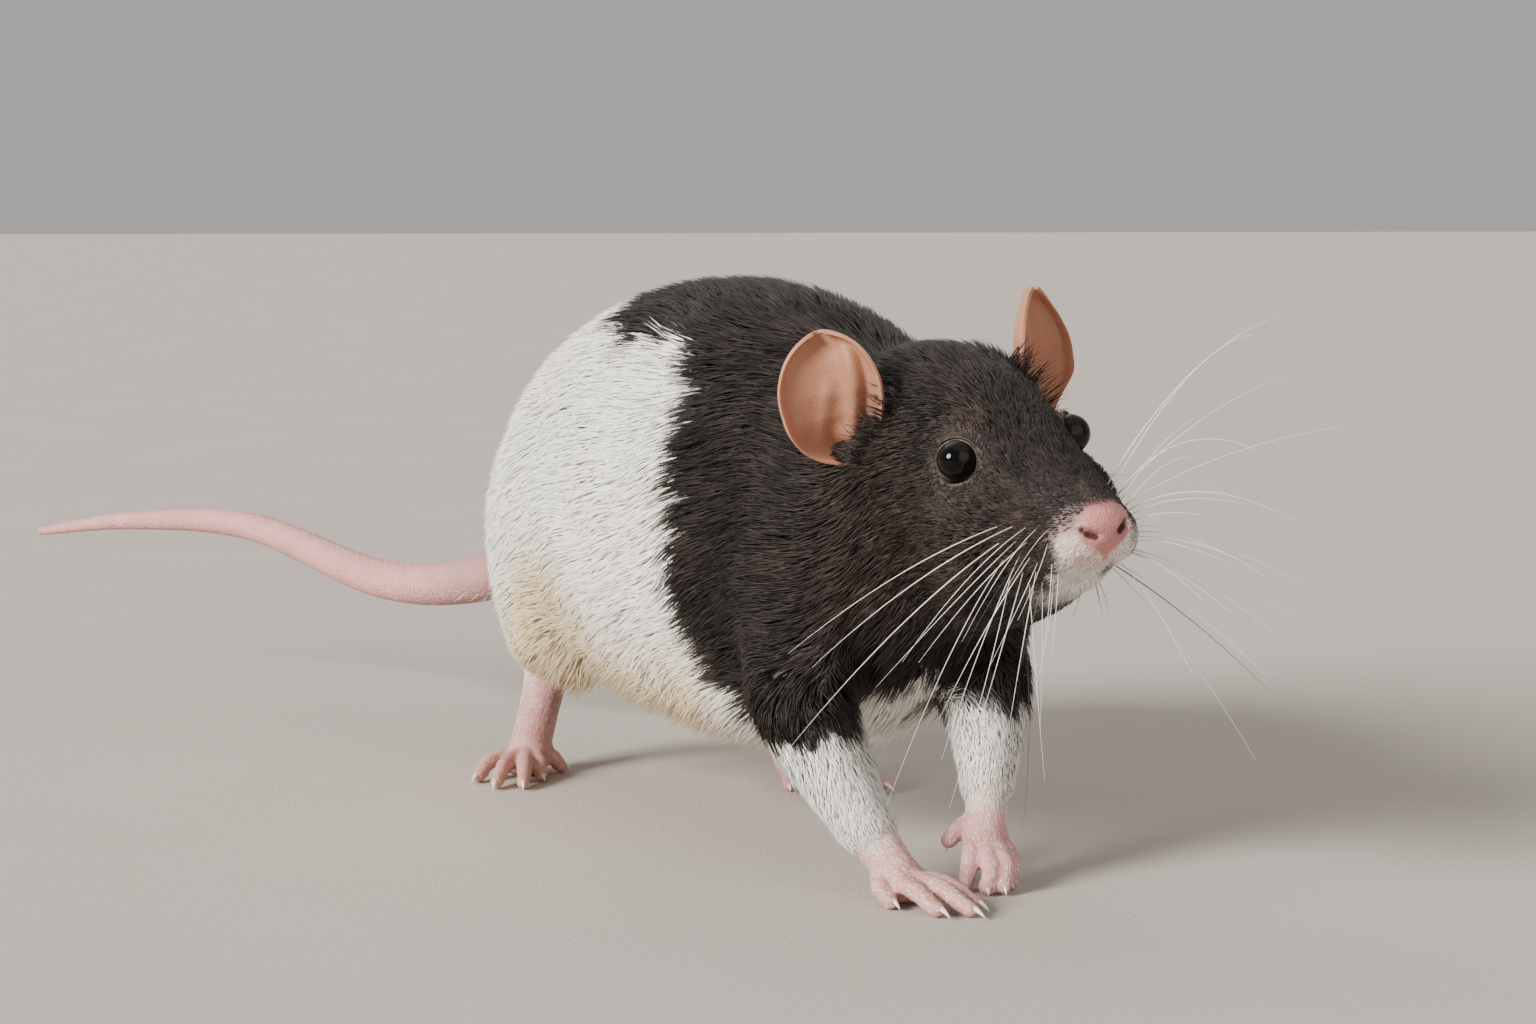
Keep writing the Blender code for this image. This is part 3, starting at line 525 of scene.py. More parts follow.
def lie_of_coat(points, normals):
    """The way the hairs lie at each point, as unit rows along the skin."""
    _, y, z = points.T
    _, _, way, _ = along_line(points, TRUNK_LINE)
    side = np.abs(normals[:, 0])
    down = np.array((0.0, 0.0, -1.0))
    flow = way + down * (0.42 * side * step(-58, -30, y))[:, None]
    head = in_head(points)
    from_nose = unit(points - from_head(NOSE_TIP))
    front = step(2.0, -14.0, head[:, 1])[:, None]
    flow = flow * (1 - front) + from_nose * front
    flow = flow + down * (0.35 * step(-6, 8, head[:, 1]) * step(-44, -56, y) * side)[:, None]
    for belongs, _, limb_way in limb_shares(points).values():
        flow = flow * (1 - belongs)[:, None] + limb_way * belongs[:, None]
    for plan in FEET.values():
        _, away, foot_way, _ = along_line(points, foot_line(plan, 2))
        near = (step(13, 8, away) * step(20, 12, z))[:, None]
        flow = flow * (1 - near) + foot_way * near
    share, away, tail_way, _ = along_line(points, TAIL_PATH)
    root = (step(0.02, 0.12, share) * step(24, 14, away))[:, None]
    flow = flow * (1 - root) + tail_way * root
    for side in (-1, 1):
        round_eye = (0.9 * step(8.0, 3.8, from_eye(head, side)))[:, None]
        flow = unit(flow) + round_eye * unit((head - eye_place(side)) @ HEAD_AXES.T)
    swirl = 0.22 * ripple(points, 13.0, 41)
    flow = unit(flow - normals * np.sum(flow * normals, axis=1)[:, None])
    return unit(flow + np.cross(normals, flow) * swirl[:, None])


def keep(name, data):
    """A new object of the scene, at the origin, with this mesh, curve, light or camera."""
    obj = bpy.data.objects.new(name, data)
    bpy.context.scene.collection.objects.link(obj)
    return obj


def remove(obj):
    mesh = obj.data
    bpy.data.objects.remove(obj)
    if isinstance(mesh, bpy.types.Mesh):
        bpy.data.meshes.remove(mesh)


def plain_mesh(obj, name):
    """The object's evaluated shape as a mesh with no modifiers."""
    bpy.context.view_layer.update()
    graph = bpy.context.evaluated_depsgraph_get()
    mesh = bpy.data.meshes.new_from_object(obj.evaluated_get(graph))
    mesh.name = name
    return mesh


def read_rows(collection, field, width, kind=np.float32):
    """One field of a mesh's points, edges or faces as an array, a row to each."""
    flat = np.empty(len(collection) * width, kind)
    collection.foreach_get(field, flat)
    return flat.reshape(-1, width) if width > 1 else flat


def vertex_rows(mesh):
    return to_body(read_rows(mesh.vertices, "co", 3).astype(float))


def vertex_normals(mesh):
    return read_rows(mesh.vertex_normals, "vector", 3).astype(float)


def set_vertices(mesh, points):
    mesh.vertices.foreach_set("co", to_model(points).astype(np.float32).ravel())
    mesh.update()


def smooth_rows(values, edges, share, rounds):
    """Each row drawn towards the mean of its neighbours, by its share, this many times."""
    first, second = edges.T
    count = np.bincount(first, minlength=len(values)) + np.bincount(second, minlength=len(values))
    share = np.broadcast_to(share, len(values))[:, None]
    for _ in range(rounds):
        mean = np.empty_like(values)
        for axis in range(values.shape[1]):
            column = values[:, axis]
            total = np.bincount(first, column[second], len(values))
            total += np.bincount(second, column[first], len(values))
            mean[:, axis] = total / np.maximum(count, 1)
        values = values + (mean - values) * share
    return values


@contextmanager
def editing(mesh):
    """The mesh as a bmesh, written back at the end."""
    bm = bmesh.new()
    bm.from_mesh(mesh)
    yield bm
    bm.to_mesh(mesh)
    bm.free()


def finer_face(mesh):
    """Smaller faces round the nose, the mouth and the eyes."""
    head = in_head(vertex_rows(mesh))
    near = head[:, 1] < -19.5
    for side in (-1, 1):
        near |= from_eye(head, side) < 6.2
    with editing(mesh) as bm:
        edges = [edge for edge in bm.edges if all(near[vert.index] for vert in edge.verts)]
        bmesh.ops.subdivide_edges(bm, edges=edges, cuts=1, use_grid_fill=True)


def add_ball(bm, centre, radii, segments=20):
    """A ball or egg in the bmesh, as a closed surface."""
    made = bmesh.ops.create_uvsphere(bm, u_segments=segments, v_segments=segments // 2, radius=1.0)
    for vert in made["verts"]:
        vert.co = Vector(to_model(np.array(vert.co) * radii + centre))


def add_tube(bm, points, radii, around=14, per_span=5):
    """A round tube with round ends, as a closed surface in the bmesh."""
    path = catmull([(*p, r) for p, r in zip(points, radii)], per_span)
    side = np.array((1.0, 0.13, 0.21))
    rings = []
    for i, row in enumerate(path):
        ahead = unit(path[min(i + 1, len(path) - 1), :3] - path[max(i - 1, 0), :3])
        side = unit(side - ahead * side.dot(ahead))
        up = np.cross(ahead, side)
        angles = 2 * math.pi * np.arange(around) / around
        ring = row[:3] + row[3] * (np.outer(np.cos(angles), side) + np.outer(np.sin(angles), up))
        rings.append([bm.verts.new(p) for p in to_model(ring)])
    for a, b in zip(rings, rings[1:]):
        for i in range(around):
            j = (i + 1) % around
            bm.faces.new((a[i], a[j], b[j], b[i]))
    bm.faces.new(rings[0][::-1])
    bm.faces.new(rings[-1])
    for end in (0, -1):
        add_ball(bm, path[end, :3], (path[end, 3],) * 3, 14)


def add_digit(bm, digit):
    """One toe: its bones' tube, knuckle bumps and the round pad under its tip."""
    base, knuckle, last, _ = np.array(digit)
    add_tube(bm, [base, knuckle, last], DIGIT_RADII, 12, 4)
    add_ball(bm, knuckle + (0, 0, 0.1), (1.75, 1.75, 1.6), 12)
    add_ball(bm, last + (0, 0, 0.15), (1.42, 1.5, 1.4), 12)
    add_ball(bm, last * 0.55 + knuckle * 0.45 + (0, 0, -0.4), (1.35, 1.4, 1.3), 12)


def flesh_mesh():
    """Copies of the flesh nodes, grown to touch, with finer feet, in one loose mesh."""
    bm = bmesh.new()
    for name in FLESH:
        part = bmesh.new()
        part.from_mesh(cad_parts[name].data)
        bmesh.ops.remove_doubles(part, verts=part.verts, dist=1e-6)
        bmesh.ops.recalc_face_normals(part, faces=part.faces)
        part.normal_update()
        for vert in part.verts:
            vert.co += vert.normal * FLESH_GROWTH * MM
        copy = bpy.data.meshes.new(name)
        part.to_mesh(copy)
        part.free()
        bm.from_mesh(copy)
        bpy.data.meshes.remove(copy)
    for plan in FEET.values():
        add_tube(bm, *plan["shank"])
        for centre, radii in plan["pads"]:
            add_ball(bm, centre, radii)
        for digit in plan["digits"]:
            add_digit(bm, digit)
    mesh = bpy.data.meshes.new("flesh")
    bm.to_mesh(mesh)
    bm.free()
    return mesh


def dent(points, normals, path, radius, depth):
    """Points pressed in along a path: negative depth raises them."""
    _, away, _, _ = along_line(points, path)
    return points - normals * (depth * np.exp(-((away / radius) ** 2)))[:, None]


def face_plan():
    """Paths of the nostrils, their wings, the lips and the split, in the head's frame."""
    nostril = [(3.9, -25.7, -10.5), (3.2, -26.5, -11.3), (2.2, -27.3, -11.8)]
    wing = [(4.3, -25.0, -9.3), (3.0, -26.8, -9.7), (1.9, -27.8, -10.6)]
    lip = [(0.0, -21.8, -20.6), (2.4, -20.4, -21.3), (4.8, -17.6, -21.8), (6.6, -13.6, -22.0)]
    lip.append((8.0, -9.0, -21.6))
    split = [(0, -28.6, -12.6), (0, -28.2, -14.5), (0, -26.4, -17.2), (0, -22.5, -20.2)]
    return [np.array(path, float) for path in (nostril, wing, lip, split)]


def shape_face(points, normals):
    """Nostrils, the split of the lip, the mouth's line and the folds round the lids."""
    nostril, wing, lip, split = face_plan()
    for side in (-1, 1):
        flip = np.array((side, 1, 1))
        points = dent(points, normals, from_head(nostril * flip), 0.42, 0.7)
        points = dent(points, normals, from_head(nostril[-2:] * flip), 0.6, 1.1)
        points = dent(points, normals, from_head(wing * flip), 0.8, -0.32)
        points = dent(points, normals, from_head((nostril - (0, 0, 1.6)) * flip), 0.8, -0.2)
        points = dent(points, normals, from_head(lip * flip), 0.45, 0.8)
        points = dent(points, normals, from_head((lip + (0, -0.6, 1.9)) * flip), 1.5, -0.35)
        points = dent(points, normals, lid_ring(side, 5.0, 0.6, 24), 0.5, 0.3)
    return dent(points, normals, from_head(split), 0.5, 1.0)


def set_in_lids(points):
    """The skin round each eye pressed back to the lids' edge, so that the ball stands out."""
    for side in (-1, 1):
        axis = unit(EYE_AXIS * (side, 1, 1)) @ HEAD_AXES.T
        rel = points - from_head(eye_place(side))
        height = rel @ axis
        across = np.linalg.norm(rel - height[:, None] * axis, axis=1)
        lid = np.interp(across, [0.0, 2.9, 3.3, 3.7, 4.6, 6.5], [-2.0, -1.2, 0.2, 0.55, 0.75, 1.5])
        near = (across < 6.5) & (height > -2.5)
        pressed = np.where(near, np.minimum(height, lid), height)
        pressed = height + (pressed - height) * step(6.5, 5.0, across)
        points = points + (pressed - height)[:, None] * axis
    return points


def lid_ring(side, radius, lift, steps):
    """A closed almond-shaped ring round an eye, square to the way that it looks."""
    axis = unit(EYE_AXIS * (side, 1, 1))
    ahead = unit(np.cross((0.0, 0.0, 1.0), axis))
    up = np.cross(axis, ahead)
    angles = 2 * math.pi * np.arange(steps + 1) / steps
    reach = radius * (1 + 0.03 * np.cos(2 * angles))
    flat = np.outer(np.cos(angles) * reach, ahead) + np.outer(np.sin(angles) * reach * 0.97, up)
    return from_head(eye_place(side) + axis * lift + flat)


def paint(mesh, name, columns):
    """A colour attribute on the mesh's points from columns of values."""
    layer = mesh.attributes.new(name, "FLOAT_COLOR", "POINT")
    values = np.ones((len(mesh.vertices), 4), np.float32)
    for i, column in enumerate(columns):
        values[:, i] = column
    layer.data.foreach_set("color", values.ravel())


def mark(mesh, name, values):
    """A number on each of the mesh's points."""
    layer = mesh.attributes.new(name, "FLOAT", "POINT")
    layer.data.foreach_set("value", np.array(values, np.float32))


def link(tree, *pairs):
    """Join each pair's output to its input."""
    for source, target in pairs:
        tree.links.new(source, target)


def attribute(tree, name):
    node = tree.nodes.new("ShaderNodeAttribute")
    node.attribute_name = name
    return node


def channels(tree, name):
    """The red, green and blue of a colour attribute, as three outputs."""
    split = tree.nodes.new("ShaderNodeSeparateColor")
    tree.links.new(attribute(tree, name).outputs["Color"], split.inputs[0])
    return split.outputs


def math_node(tree, operation, *values):
    """A maths node's output; it serves shader trees and geometry trees."""
    node = tree.nodes.new("ShaderNodeMath")
    node.operation = operation
    for i, value in enumerate(values):
        if isinstance(value, (int, float)):
            node.inputs[i].default_value = value
        else:
            tree.links.new(value, node.inputs[i])
    return node.outputs[0]


def mix_node(tree, factor, first, second, blend="MIX"):
    """A colour mix's output, from sockets, numbers or colours."""
    node = tree.nodes.new("ShaderNodeMix")
    node.data_type = "RGBA"
    node.blend_type = blend
    sockets = (node.inputs["Factor"], *node.inputs[6:8])
    for socket, value in zip(sockets, (factor, first, second)):
        if isinstance(value, (int, float)):
            socket.default_value = value
        elif isinstance(value, (tuple, list)):
            socket.default_value = (*value[:3], 1.0)
        else:
            tree.links.new(value, socket)
    return node.outputs[2]


def ramp_node(tree, factor, low, high):
    """The factor brought from low..high to 0..1, smoothly."""
    node = tree.nodes.new("ShaderNodeMapRange")
    node.interpolation_type = "SMOOTHSTEP"
    node.inputs["From Min"].default_value = low
    node.inputs["From Max"].default_value = high
    tree.links.new(factor, node.inputs["Value"])
    return node.outputs["Result"]


def noise_node(tree, scale, detail=3.0):
    """Noise over the object's own coordinates, its scale in lumps to the metre."""
    node = tree.nodes.new("ShaderNodeTexNoise")
    node.inputs["Scale"].default_value = scale
    node.inputs["Detail"].default_value = detail
    source = tree.nodes.new("ShaderNodeTexCoord")
    tree.links.new(source.outputs["Object"], node.inputs["Vector"])
    return node.outputs["Fac"]


def clouds(tree, scale, detail, low, high):
    """Soft blotches from 0 to 1: noise brought from low..high."""
    return ramp_node(tree, noise_node(tree, scale, detail), low, high)


def new_material(name, roughness, specular, **sockets):
    """A material with its tree and shader; the names of sockets have _ for a space."""
    made = bpy.data.materials.new(name)
    made.use_nodes = True
    shader = made.node_tree.nodes["Principled BSDF"]
    shader.inputs["Roughness"].default_value = roughness
    shader.inputs["Specular IOR Level"].default_value = specular
    for key, value in sockets.items():
        shader.inputs[key.replace("_", " ")].default_value = value
    return made, made.node_tree, shader


def bump(tree, shader, height, distance):
    """Height as a bump on the shader's normal."""
    node = tree.nodes.new("ShaderNodeBump")
    node.inputs["Distance"].default_value = distance
    link(tree, (height, node.inputs["Height"]), (node.outputs["Normal"], shader.inputs["Normal"]))


def coat_tone_group():
    """The markings as one colour: what the skin and the coat share."""
    tree = bpy.data.node_groups.new("Coat Tone", "ShaderNodeTree")
    for name in ("Marking", "Hood", "Brown", "White", "Tinge"):
        tree.interface.new_socket(name, in_out="INPUT", socket_type="NodeSocketColor")
    tree.interface.new_socket("Tone", in_out="OUTPUT", socket_type="NodeSocketColor")
    inside = tree.nodes.new("NodeGroupInput")
    outside = tree.nodes.new("NodeGroupOutput")
    split = tree.nodes.new("ShaderNodeSeparateColor")
    tree.links.new(inside.outputs["Marking"], split.inputs[0])
    dark = mix_node(tree, split.outputs[1], inside.outputs["Hood"], inside.outputs["Brown"])
    # The tinge, which under the belly is partly painted shade
    pale = mix_node(tree, split.outputs[2], inside.outputs["White"], inside.outputs["Tinge"])
    tree.links.new(mix_node(tree, split.outputs[0], pale, dark), outside.inputs["Tone"])
    return tree


def coat_tone(tree, settings):
    """The shared group placed in a material, with the coat's colours."""
    group = bpy.data.node_groups.get("Coat Tone") or coat_tone_group()
    node = tree.nodes.new("ShaderNodeGroup")
    node.node_tree = group
    for name in ("hood", "brown", "white", "tinge"):
        node.inputs[name.title()].default_value = (*getattr(settings, name), 1.0)
    tree.links.new(attribute(tree, "marking").outputs["Color"], node.inputs["Marking"])
    return node.outputs["Tone"]


def coat_material(settings):
    """Hair: darker at the root as painted shade deep in the coat, lighter at the tip as painted light, each
    tuft a little different.
    """
    made, tree, shader = new_material("coat", 0.42, 0.14)
    tone = coat_tone(tree, settings)
    strand, marking = channels(tree, "strand"), channels(tree, "marking")
    depth = math_node(tree, "MULTIPLY_ADD", marking[0], 0.86, 0.09)
    # Painted shade towards each root and painted light towards each tip, strongest in the dark hood
    reach = math_node(tree, "MULTIPLY_ADD", strand[0], 1.0, -0.62)
    vary = math_node(tree, "MULTIPLY_ADD", strand[1], 1.9, -0.85)
    gain = math_node(tree, "MULTIPLY_ADD", math_node(tree, "ADD", reach, vary), depth, 1.0)
    grey = tree.nodes.new("ShaderNodeCombineColor")
    for socket in grey.inputs:
        tree.links.new(gain, socket)
    tree.links.new(mix_node(tree, 1.0, tone, grey.outputs[0], "MULTIPLY"), shader.inputs["Base Color"])
    return made


def tinted(colour, gain, lift=0.0):
    """A colour times gain plus lift, with no channel past 1."""
    return tuple(min(1.0, c * gain + lift) for c in colour)


def patched(tree, colour, mask, share, patch):
    """The colour with a patch's colour laid over it by share of a mask."""
    return mix_node(tree, math_node(tree, "MULTIPLY", mask, share), colour, patch)


def skin_material(skin, coat):
    """Bare pink skin with fine lines and blotches, painted shade in the nostrils and along the mouth, and
    the coat's own colour under the coat.
    """
    made, tree, shader = new_material(
        "skin", 0.55, 0.4, Subsurface_Weight=0.18, Subsurface_Radius=(0.0016, 0.0006, 0.0004),
        Subsurface_Scale=1.0,
    )
    bare = channels(tree, "bare")
    blotch = clouds(tree, 260.0, 4.0, 0.35, 0.7)
    flesh = mix_node(tree, blotch, tuple(skin.bare), tinted(skin.bare, 1.12, 0.05))
    fine = clouds(tree, 1500.0, 3.0, 0.3, 0.72)
    flesh = patched(tree, flesh, fine, 0.35, (0.56, 0.24, 0.22))
    flesh = patched(tree, flesh, channels(tree, "marking")[0], 0.7, (0.15, 0.12, 0.115))
    under = mix_node(tree, 1.0, coat_tone(tree, coat), (0.9, 0.84, 0.81), "MULTIPLY")
    pits = tree.nodes.new("ShaderNodeTexVoronoi")
    pits.inputs["Scale"].default_value = 3600.0
    tree.links.new(tree.nodes.new("ShaderNodeTexCoord").outputs["Object"], pits.inputs["Vector"])
    cobble = ramp_node(tree, pits.outputs["Distance"], 0.1, 0.6)
    nose = mix_node(tree, cobble, tinted(skin.nose, 1.3), tinted(skin.nose, 0.86))
    colour = mix_node(tree, bare[0], under, flesh)
    colour = mix_node(tree, bare[1], colour, nose)
    # Painted shade: near-black red deep in the nostrils and along the mouth's line
    colour = mix_node(tree, bare[2], colour, (0.05, 0.011, 0.010))
    tree.links.new(colour, shader.inputs["Base Color"])
    rough = clouds(tree, 900.0, 3.0, 0.2, 0.8)
    tree.links.new(math_node(tree, "MULTIPLY_ADD", rough, 0.22, 0.42), shader.inputs["Roughness"])
    grain = math_node(tree, "ADD", noise_node(tree, 2600.0, 4.0), noise_node(tree, 700.0, 2.0))
    grain = math_node(tree, "SUBTRACT", grain, math_node(tree, "MULTIPLY", cobble, bare[1]))
    bump(tree, shader, grain, 0.00016)
    return made


def ear_material(skin):
    """Thin tan skin that lets light through, with veins, fine down, a paler rim and painted shade in its
    hollow.
    """
    made, tree, shader = new_material(
        "ear_skin", 0.5, 0.35, Subsurface_Weight=0.35, Subsurface_Radius=(0.0022, 0.0009, 0.0005),
        Subsurface_Scale=1.0,
    )
    # The rim attribute holds the paler rim, then the painted shade of the hollow
    rim = channels(tree, "rim")
    blotch = clouds(tree, 170.0, 4.0, 0.32, 0.68)
    warm = tuple(min(1.0, c * f) for c, f in zip(skin.ear, (1.07, 1.10, 1.12)))
    colour = mix_node(tree, blotch, tuple(skin.ear), warm)
    vein = clouds(tree, 420.0, 5.0, 0.56, 0.66)
    colour = patched(tree, colour, vein, 0.22, (0.42, 0.16, 0.11))
    colour = patched(tree, colour, rim[0], 0.6, (0.44, 0.24, 0.16))
    # Painted shade in the ear's inner hollow and low in its cup
    colour = patched(tree, colour, rim[1], 0.6, (0.22, 0.10, 0.07))
    tree.links.new(colour, shader.inputs["Base Color"])
    bump(tree, shader, noise_node(tree, 3000.0, 4.0), 0.00012)
    return made


def tail_material(skin):
    """Ringed scales, darker between, and darker and greyer towards the root as painted shade."""
    made, tree, shader = new_material(
        "tail_skin", 0.6, 0.35, Subsurface_Weight=0.15, Subsurface_Radius=(0.0014, 0.0006, 0.0004),
        Subsurface_Scale=1.0,
    )
    along = attribute(tree, "along").outputs["Fac"]
    turns = math_node(tree, "MULTIPLY", along, TAIL_RINGS * 2 * math.pi)
    wave = math_node(tree, "MULTIPLY_ADD", math_node(tree, "SINE", turns), 0.5, 0.5)
    blotch = clouds(tree, 190.0, 4.0, 0.3, 0.72)
    base = mix_node(tree, blotch, tinted(skin.bare, 1.05, 0.05), tinted(skin.bare, 1.25, 0.05))
    scale = clouds(tree, 1400.0, 2.0, 0.4, 0.6)
    colour = patched(tree, base, math_node(tree, "MULTIPLY", wave, scale), 0.5, (0.46, 0.25, 0.20))
    # Painted shade: the tail darker and greyer towards its root
    root = math_node(tree, "MULTIPLY_ADD", ramp_node(tree, along, 0.02, 0.30), -0.8, 0.8)
    colour = mix_node(tree, root, colour, (0.22, 0.155, 0.142))
    tree.links.new(colour, shader.inputs["Base Color"])
    bump(tree, shader, math_node(tree, "ADD", wave, scale), 0.00012)
    return made


def eye_material():
    """A black, wet eye with a deep brown iris that shows only near the light."""
    made, tree, shader = new_material("eye", 0.04, 0.16, Coat_Weight=0.05, Coat_Roughness=0.02)
    iris = attribute(tree, "iris").outputs["Fac"]
    fibres = clouds(tree, 2200.0, 3.0, 0.3, 0.7)
    brown = mix_node(tree, fibres, (0.006, 0.004, 0.003), (0.013, 0.008, 0.006))
    tree.links.new(mix_node(tree, iris, brown, (0.0015, 0.0015, 0.0018)), shader.inputs["Base Color"])
    return made


def horn_material():
    """Claws: pink at the quick, clear pale horn towards the tip."""
    made, tree, shader = new_material(
        "claw_horn", 0.28, 0.5, Subsurface_Weight=0.2, Subsurface_Scale=0.001,
    )
    along = attribute(tree, "along").outputs["Fac"]
    quick = ramp_node(tree, along, 0.25, 0.6)
    colour = mix_node(tree, quick, (0.70, 0.38, 0.33), (0.82, 0.74, 0.62))
    streak = clouds(tree, 2400.0, 2.0, 0.3, 0.7)
    colour = patched(tree, colour, streak, 0.25, (0.60, 0.46, 0.36))
    tree.links.new(colour, shader.inputs["Base Color"])
    bump(tree, shader, noise_node(tree, 2600.0, 2.0), 0.00004)
    return made


def whisker_material():
    """Stiff hairs, pale or dark, a little darker at the root."""
    made, tree, shader = new_material("whisker", 0.34, 0.5)
    along = attribute(tree, "along").outputs["Fac"]
    dark = attribute(tree, "dark").outputs["Fac"]
    pale = mix_node(tree, ramp_node(tree, along, 0.0, 0.3), (0.42, 0.36, 0.31), (0.86, 0.83, 0.79))
    vary = clouds(tree, 90.0, 2.0, 0.3, 0.7)
    black = mix_node(tree, vary, (0.02, 0.015, 0.012), (0.07, 0.05, 0.04))
    tree.links.new(mix_node(tree, dark, pale, black), shader.inputs["Base Color"])
    return made


def floor_material(settings):
    """A plain pale floor, a little uneven in tone."""
    made, tree, shader = new_material("floor", 0.85, 0.2)
    tone = clouds(tree, 14.0, 4.0, 0.2, 0.8)
    darker = tuple(c * 0.95 for c in settings.floor)
    tree.links.new(mix_node(tree, tone, darker, tuple(settings.floor)), shader.inputs["Base Color"])
    bump(tree, shader, noise_node(tree, 900.0, 3.0), 0.0001)
    return made


def sweep_tree():
    """Geometry nodes that give each spline a round, tapering, ringed skin."""
    tree = bpy.data.node_groups.new("Sweep", "GeometryNodeTree")
    for name, kind, default in (
        ("Geometry", "Geometry", None), ("Sides", "Int", 12), ("Steps", "Int", 40),
        ("Rings", "Float", 0.0), ("Ring Height", "Float", 0.0), ("Material", "Material", None),
    ):
        socket = tree.interface.new_socket(name, in_out="INPUT", socket_type="NodeSocket" + kind)
        if default is not None:
            socket.default_value = default
    tree.interface.new_socket("Geometry", in_out="OUTPUT", socket_type="NodeSocketGeometry")
    kinds = (
        "NodeGroupInput", "NodeGroupOutput", "GeometryNodeResampleCurve", "GeometryNodeSplineParameter",
        "GeometryNodeInputRadius", "GeometryNodeCurvePrimitiveCircle", "GeometryNodeCurveToMesh",
        "GeometryNodeStoreNamedAttribute", "GeometryNodeSetShadeSmooth", "GeometryNodeRealizeInstances",
        "GeometryNodeSetMaterial",
    )
    inside, outside, resample, spline, radius, circle, skin, store, smooth, real, material = (
        tree.nodes.new(kind) for kind in kinds
    )
    circle.inputs["Radius"].default_value = 1.0
    store.inputs["Name"].default_value = "along"
    skin.inputs["Fill Caps"].default_value = True
    factor = spline.outputs["Factor"]
    saw = math_node(tree, "FRACT", math_node(tree, "MULTIPLY", factor, inside.outputs["Rings"]))
    height = math_node(tree, "MULTIPLY_ADD", saw, inside.outputs["Ring Height"], 1.0)
    link(
        tree,
        (inside.outputs["Geometry"], resample.inputs["Curve"]),
        (inside.outputs["Steps"], resample.inputs["Count"]),
        (inside.outputs["Sides"], circle.inputs["Resolution"]),
        (resample.outputs["Curve"], store.inputs["Geometry"]),
        (factor, store.inputs["Value"]),
        (store.outputs["Geometry"], skin.inputs["Curve"]),
        (circle.outputs["Curve"], skin.inputs["Profile Curve"]),
        (math_node(tree, "MULTIPLY", height, radius.outputs["Radius"]), skin.inputs["Scale"]),
        (skin.outputs["Mesh"], smooth.inputs["Geometry"]),
        (smooth.outputs["Geometry"], real.inputs["Geometry"]),
        (real.outputs["Geometry"], material.inputs["Geometry"]),
        (inside.outputs["Material"], material.inputs["Material"]),
        (material.outputs["Geometry"], outside.inputs["Geometry"]),
    )
    return tree


def sweep(name, splines, material, sides=8, steps=12, rings=0.0, ring_height=0.0):
    """Round tapering skins along splines of (points, radii, closed), as one plain mesh object."""
    curve = bpy.data.curves.new(name, "CURVE")
    curve.dimensions = "3D"
    for points, radii, closed in splines:
        spline = curve.splines.new("POLY")
        spline.points.add(len(points) - 1)
        places = np.c_[to_model(points), np.ones(len(points))]
        spline.points.foreach_set("co", places.ravel())
        spline.points.foreach_set("radius", np.array(radii, float) * MM)
        spline.use_cyclic_u = closed
    holder = keep(name + "_path", curve)
    tree = bpy.data.node_groups.get("Sweep") or sweep_tree()
    modifier = holder.modifiers.new("sweep", "NODES")
    modifier.node_group = tree
    values = {
        "Sides": sides, "Steps": steps, "Rings": rings, "Ring Height": ring_height, "Material": material,
    }
    for item in tree.interface.items_tree:
        if item.in_out == "INPUT" and item.name in values:
            modifier[item.identifier] = values[item.name]
    mesh = plain_mesh(holder, name)
    bpy.data.objects.remove(holder)
    bpy.data.curves.remove(curve)
    turn_outwards(mesh)
    return keep(name, mesh)


def turn_outwards(mesh):
    """Merge double points and turn every face outwards."""
    with editing(mesh) as bm:
        bmesh.ops.remove_doubles(bm, verts=bm.verts, dist=1e-8)
        bmesh.ops.recalc_face_normals(bm, faces=bm.faces)


def finish_piece(obj, slot, *nodes):
    """Tell the frame a piece's body and the nodes that it replaces; the slot is not used."""
    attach(obj, "root")
    if nodes:
        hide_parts(*nodes)
    return obj


def fused_flesh(voxel):
    """The flesh fused into one closed surface by cells of this size in mm."""
    rough = keep("rough_skin", flesh_mesh())
    fuse = rough.modifiers.new("fuse", "REMESH")
    fuse.mode = "VOXEL"
    fuse.voxel_size = voxel * MM
    mesh = plain_mesh(rough, "skin")
    remove(rough)
    return mesh


def lay_under_coat(mesh, trunk):
    """The fused flesh smoothed and pressed in by the coat's depth, then the face shaped on it."""
    points, edges = vertex_rows(mesh), read_rows(mesh.edges, "vertices", 2, np.int32)
    deep = coat_depth(points, trunk)
    points = smooth_rows(points, edges, 0.6 * step(-17.5, -20.0, in_head(points)[:, 1]), 24)
    points = smooth_rows(points, edges, np.interp(deep, [0.2, 1.5], [0.35, 0.6]), 6)
    points = smooth_rows(points, edges, 0.6 * step(0.9, 2.4, deep), 30)
    set_vertices(mesh, points)
    normals = smooth_rows(vertex_normals(mesh), edges, step(0.3, 1.5, deep), 10)
    points = points - unit(normals) * deep[:, None]
    points = smooth_rows(points, edges, 0.5 * step(0.3, 1.0, deep), 8)
    set_vertices(mesh, set_in_lids(points))
    finer_face(mesh)
    points, edges = vertex_rows(mesh), read_rows(mesh.edges, "vertices", 2, np.int32)
    points = smooth_rows(points, edges, 0.5 * step(-19.0, -20.0, in_head(points)[:, 1]), 4)
    set_vertices(mesh, points)
    deep = coat_depth(points, trunk)
    set_vertices(mesh, shape_face(points, vertex_normals(mesh)))
    return deep


def thinned(mesh, deep, triangles):
    """A skin of about this many triangles, thinned only where the coat covers it."""
    obj = keep("skin", mesh)
    soft = obj.vertex_groups.new(name="under_coat")
    soft.add(np.flatnonzero(deep > 0.75).tolist(), 1.0, "REPLACE")
    mesh.calc_loop_triangles()
    fewer = obj.modifiers.new("fewer", "DECIMATE")
    fewer.ratio = min(1.0, triangles / len(mesh.loop_triangles))
    fewer.vertex_group = soft.name
    thin = plain_mesh(obj, "skin")
    remove(obj)
    obj = keep("skin", thin)
    obj.vertex_groups.clear()
    return obj


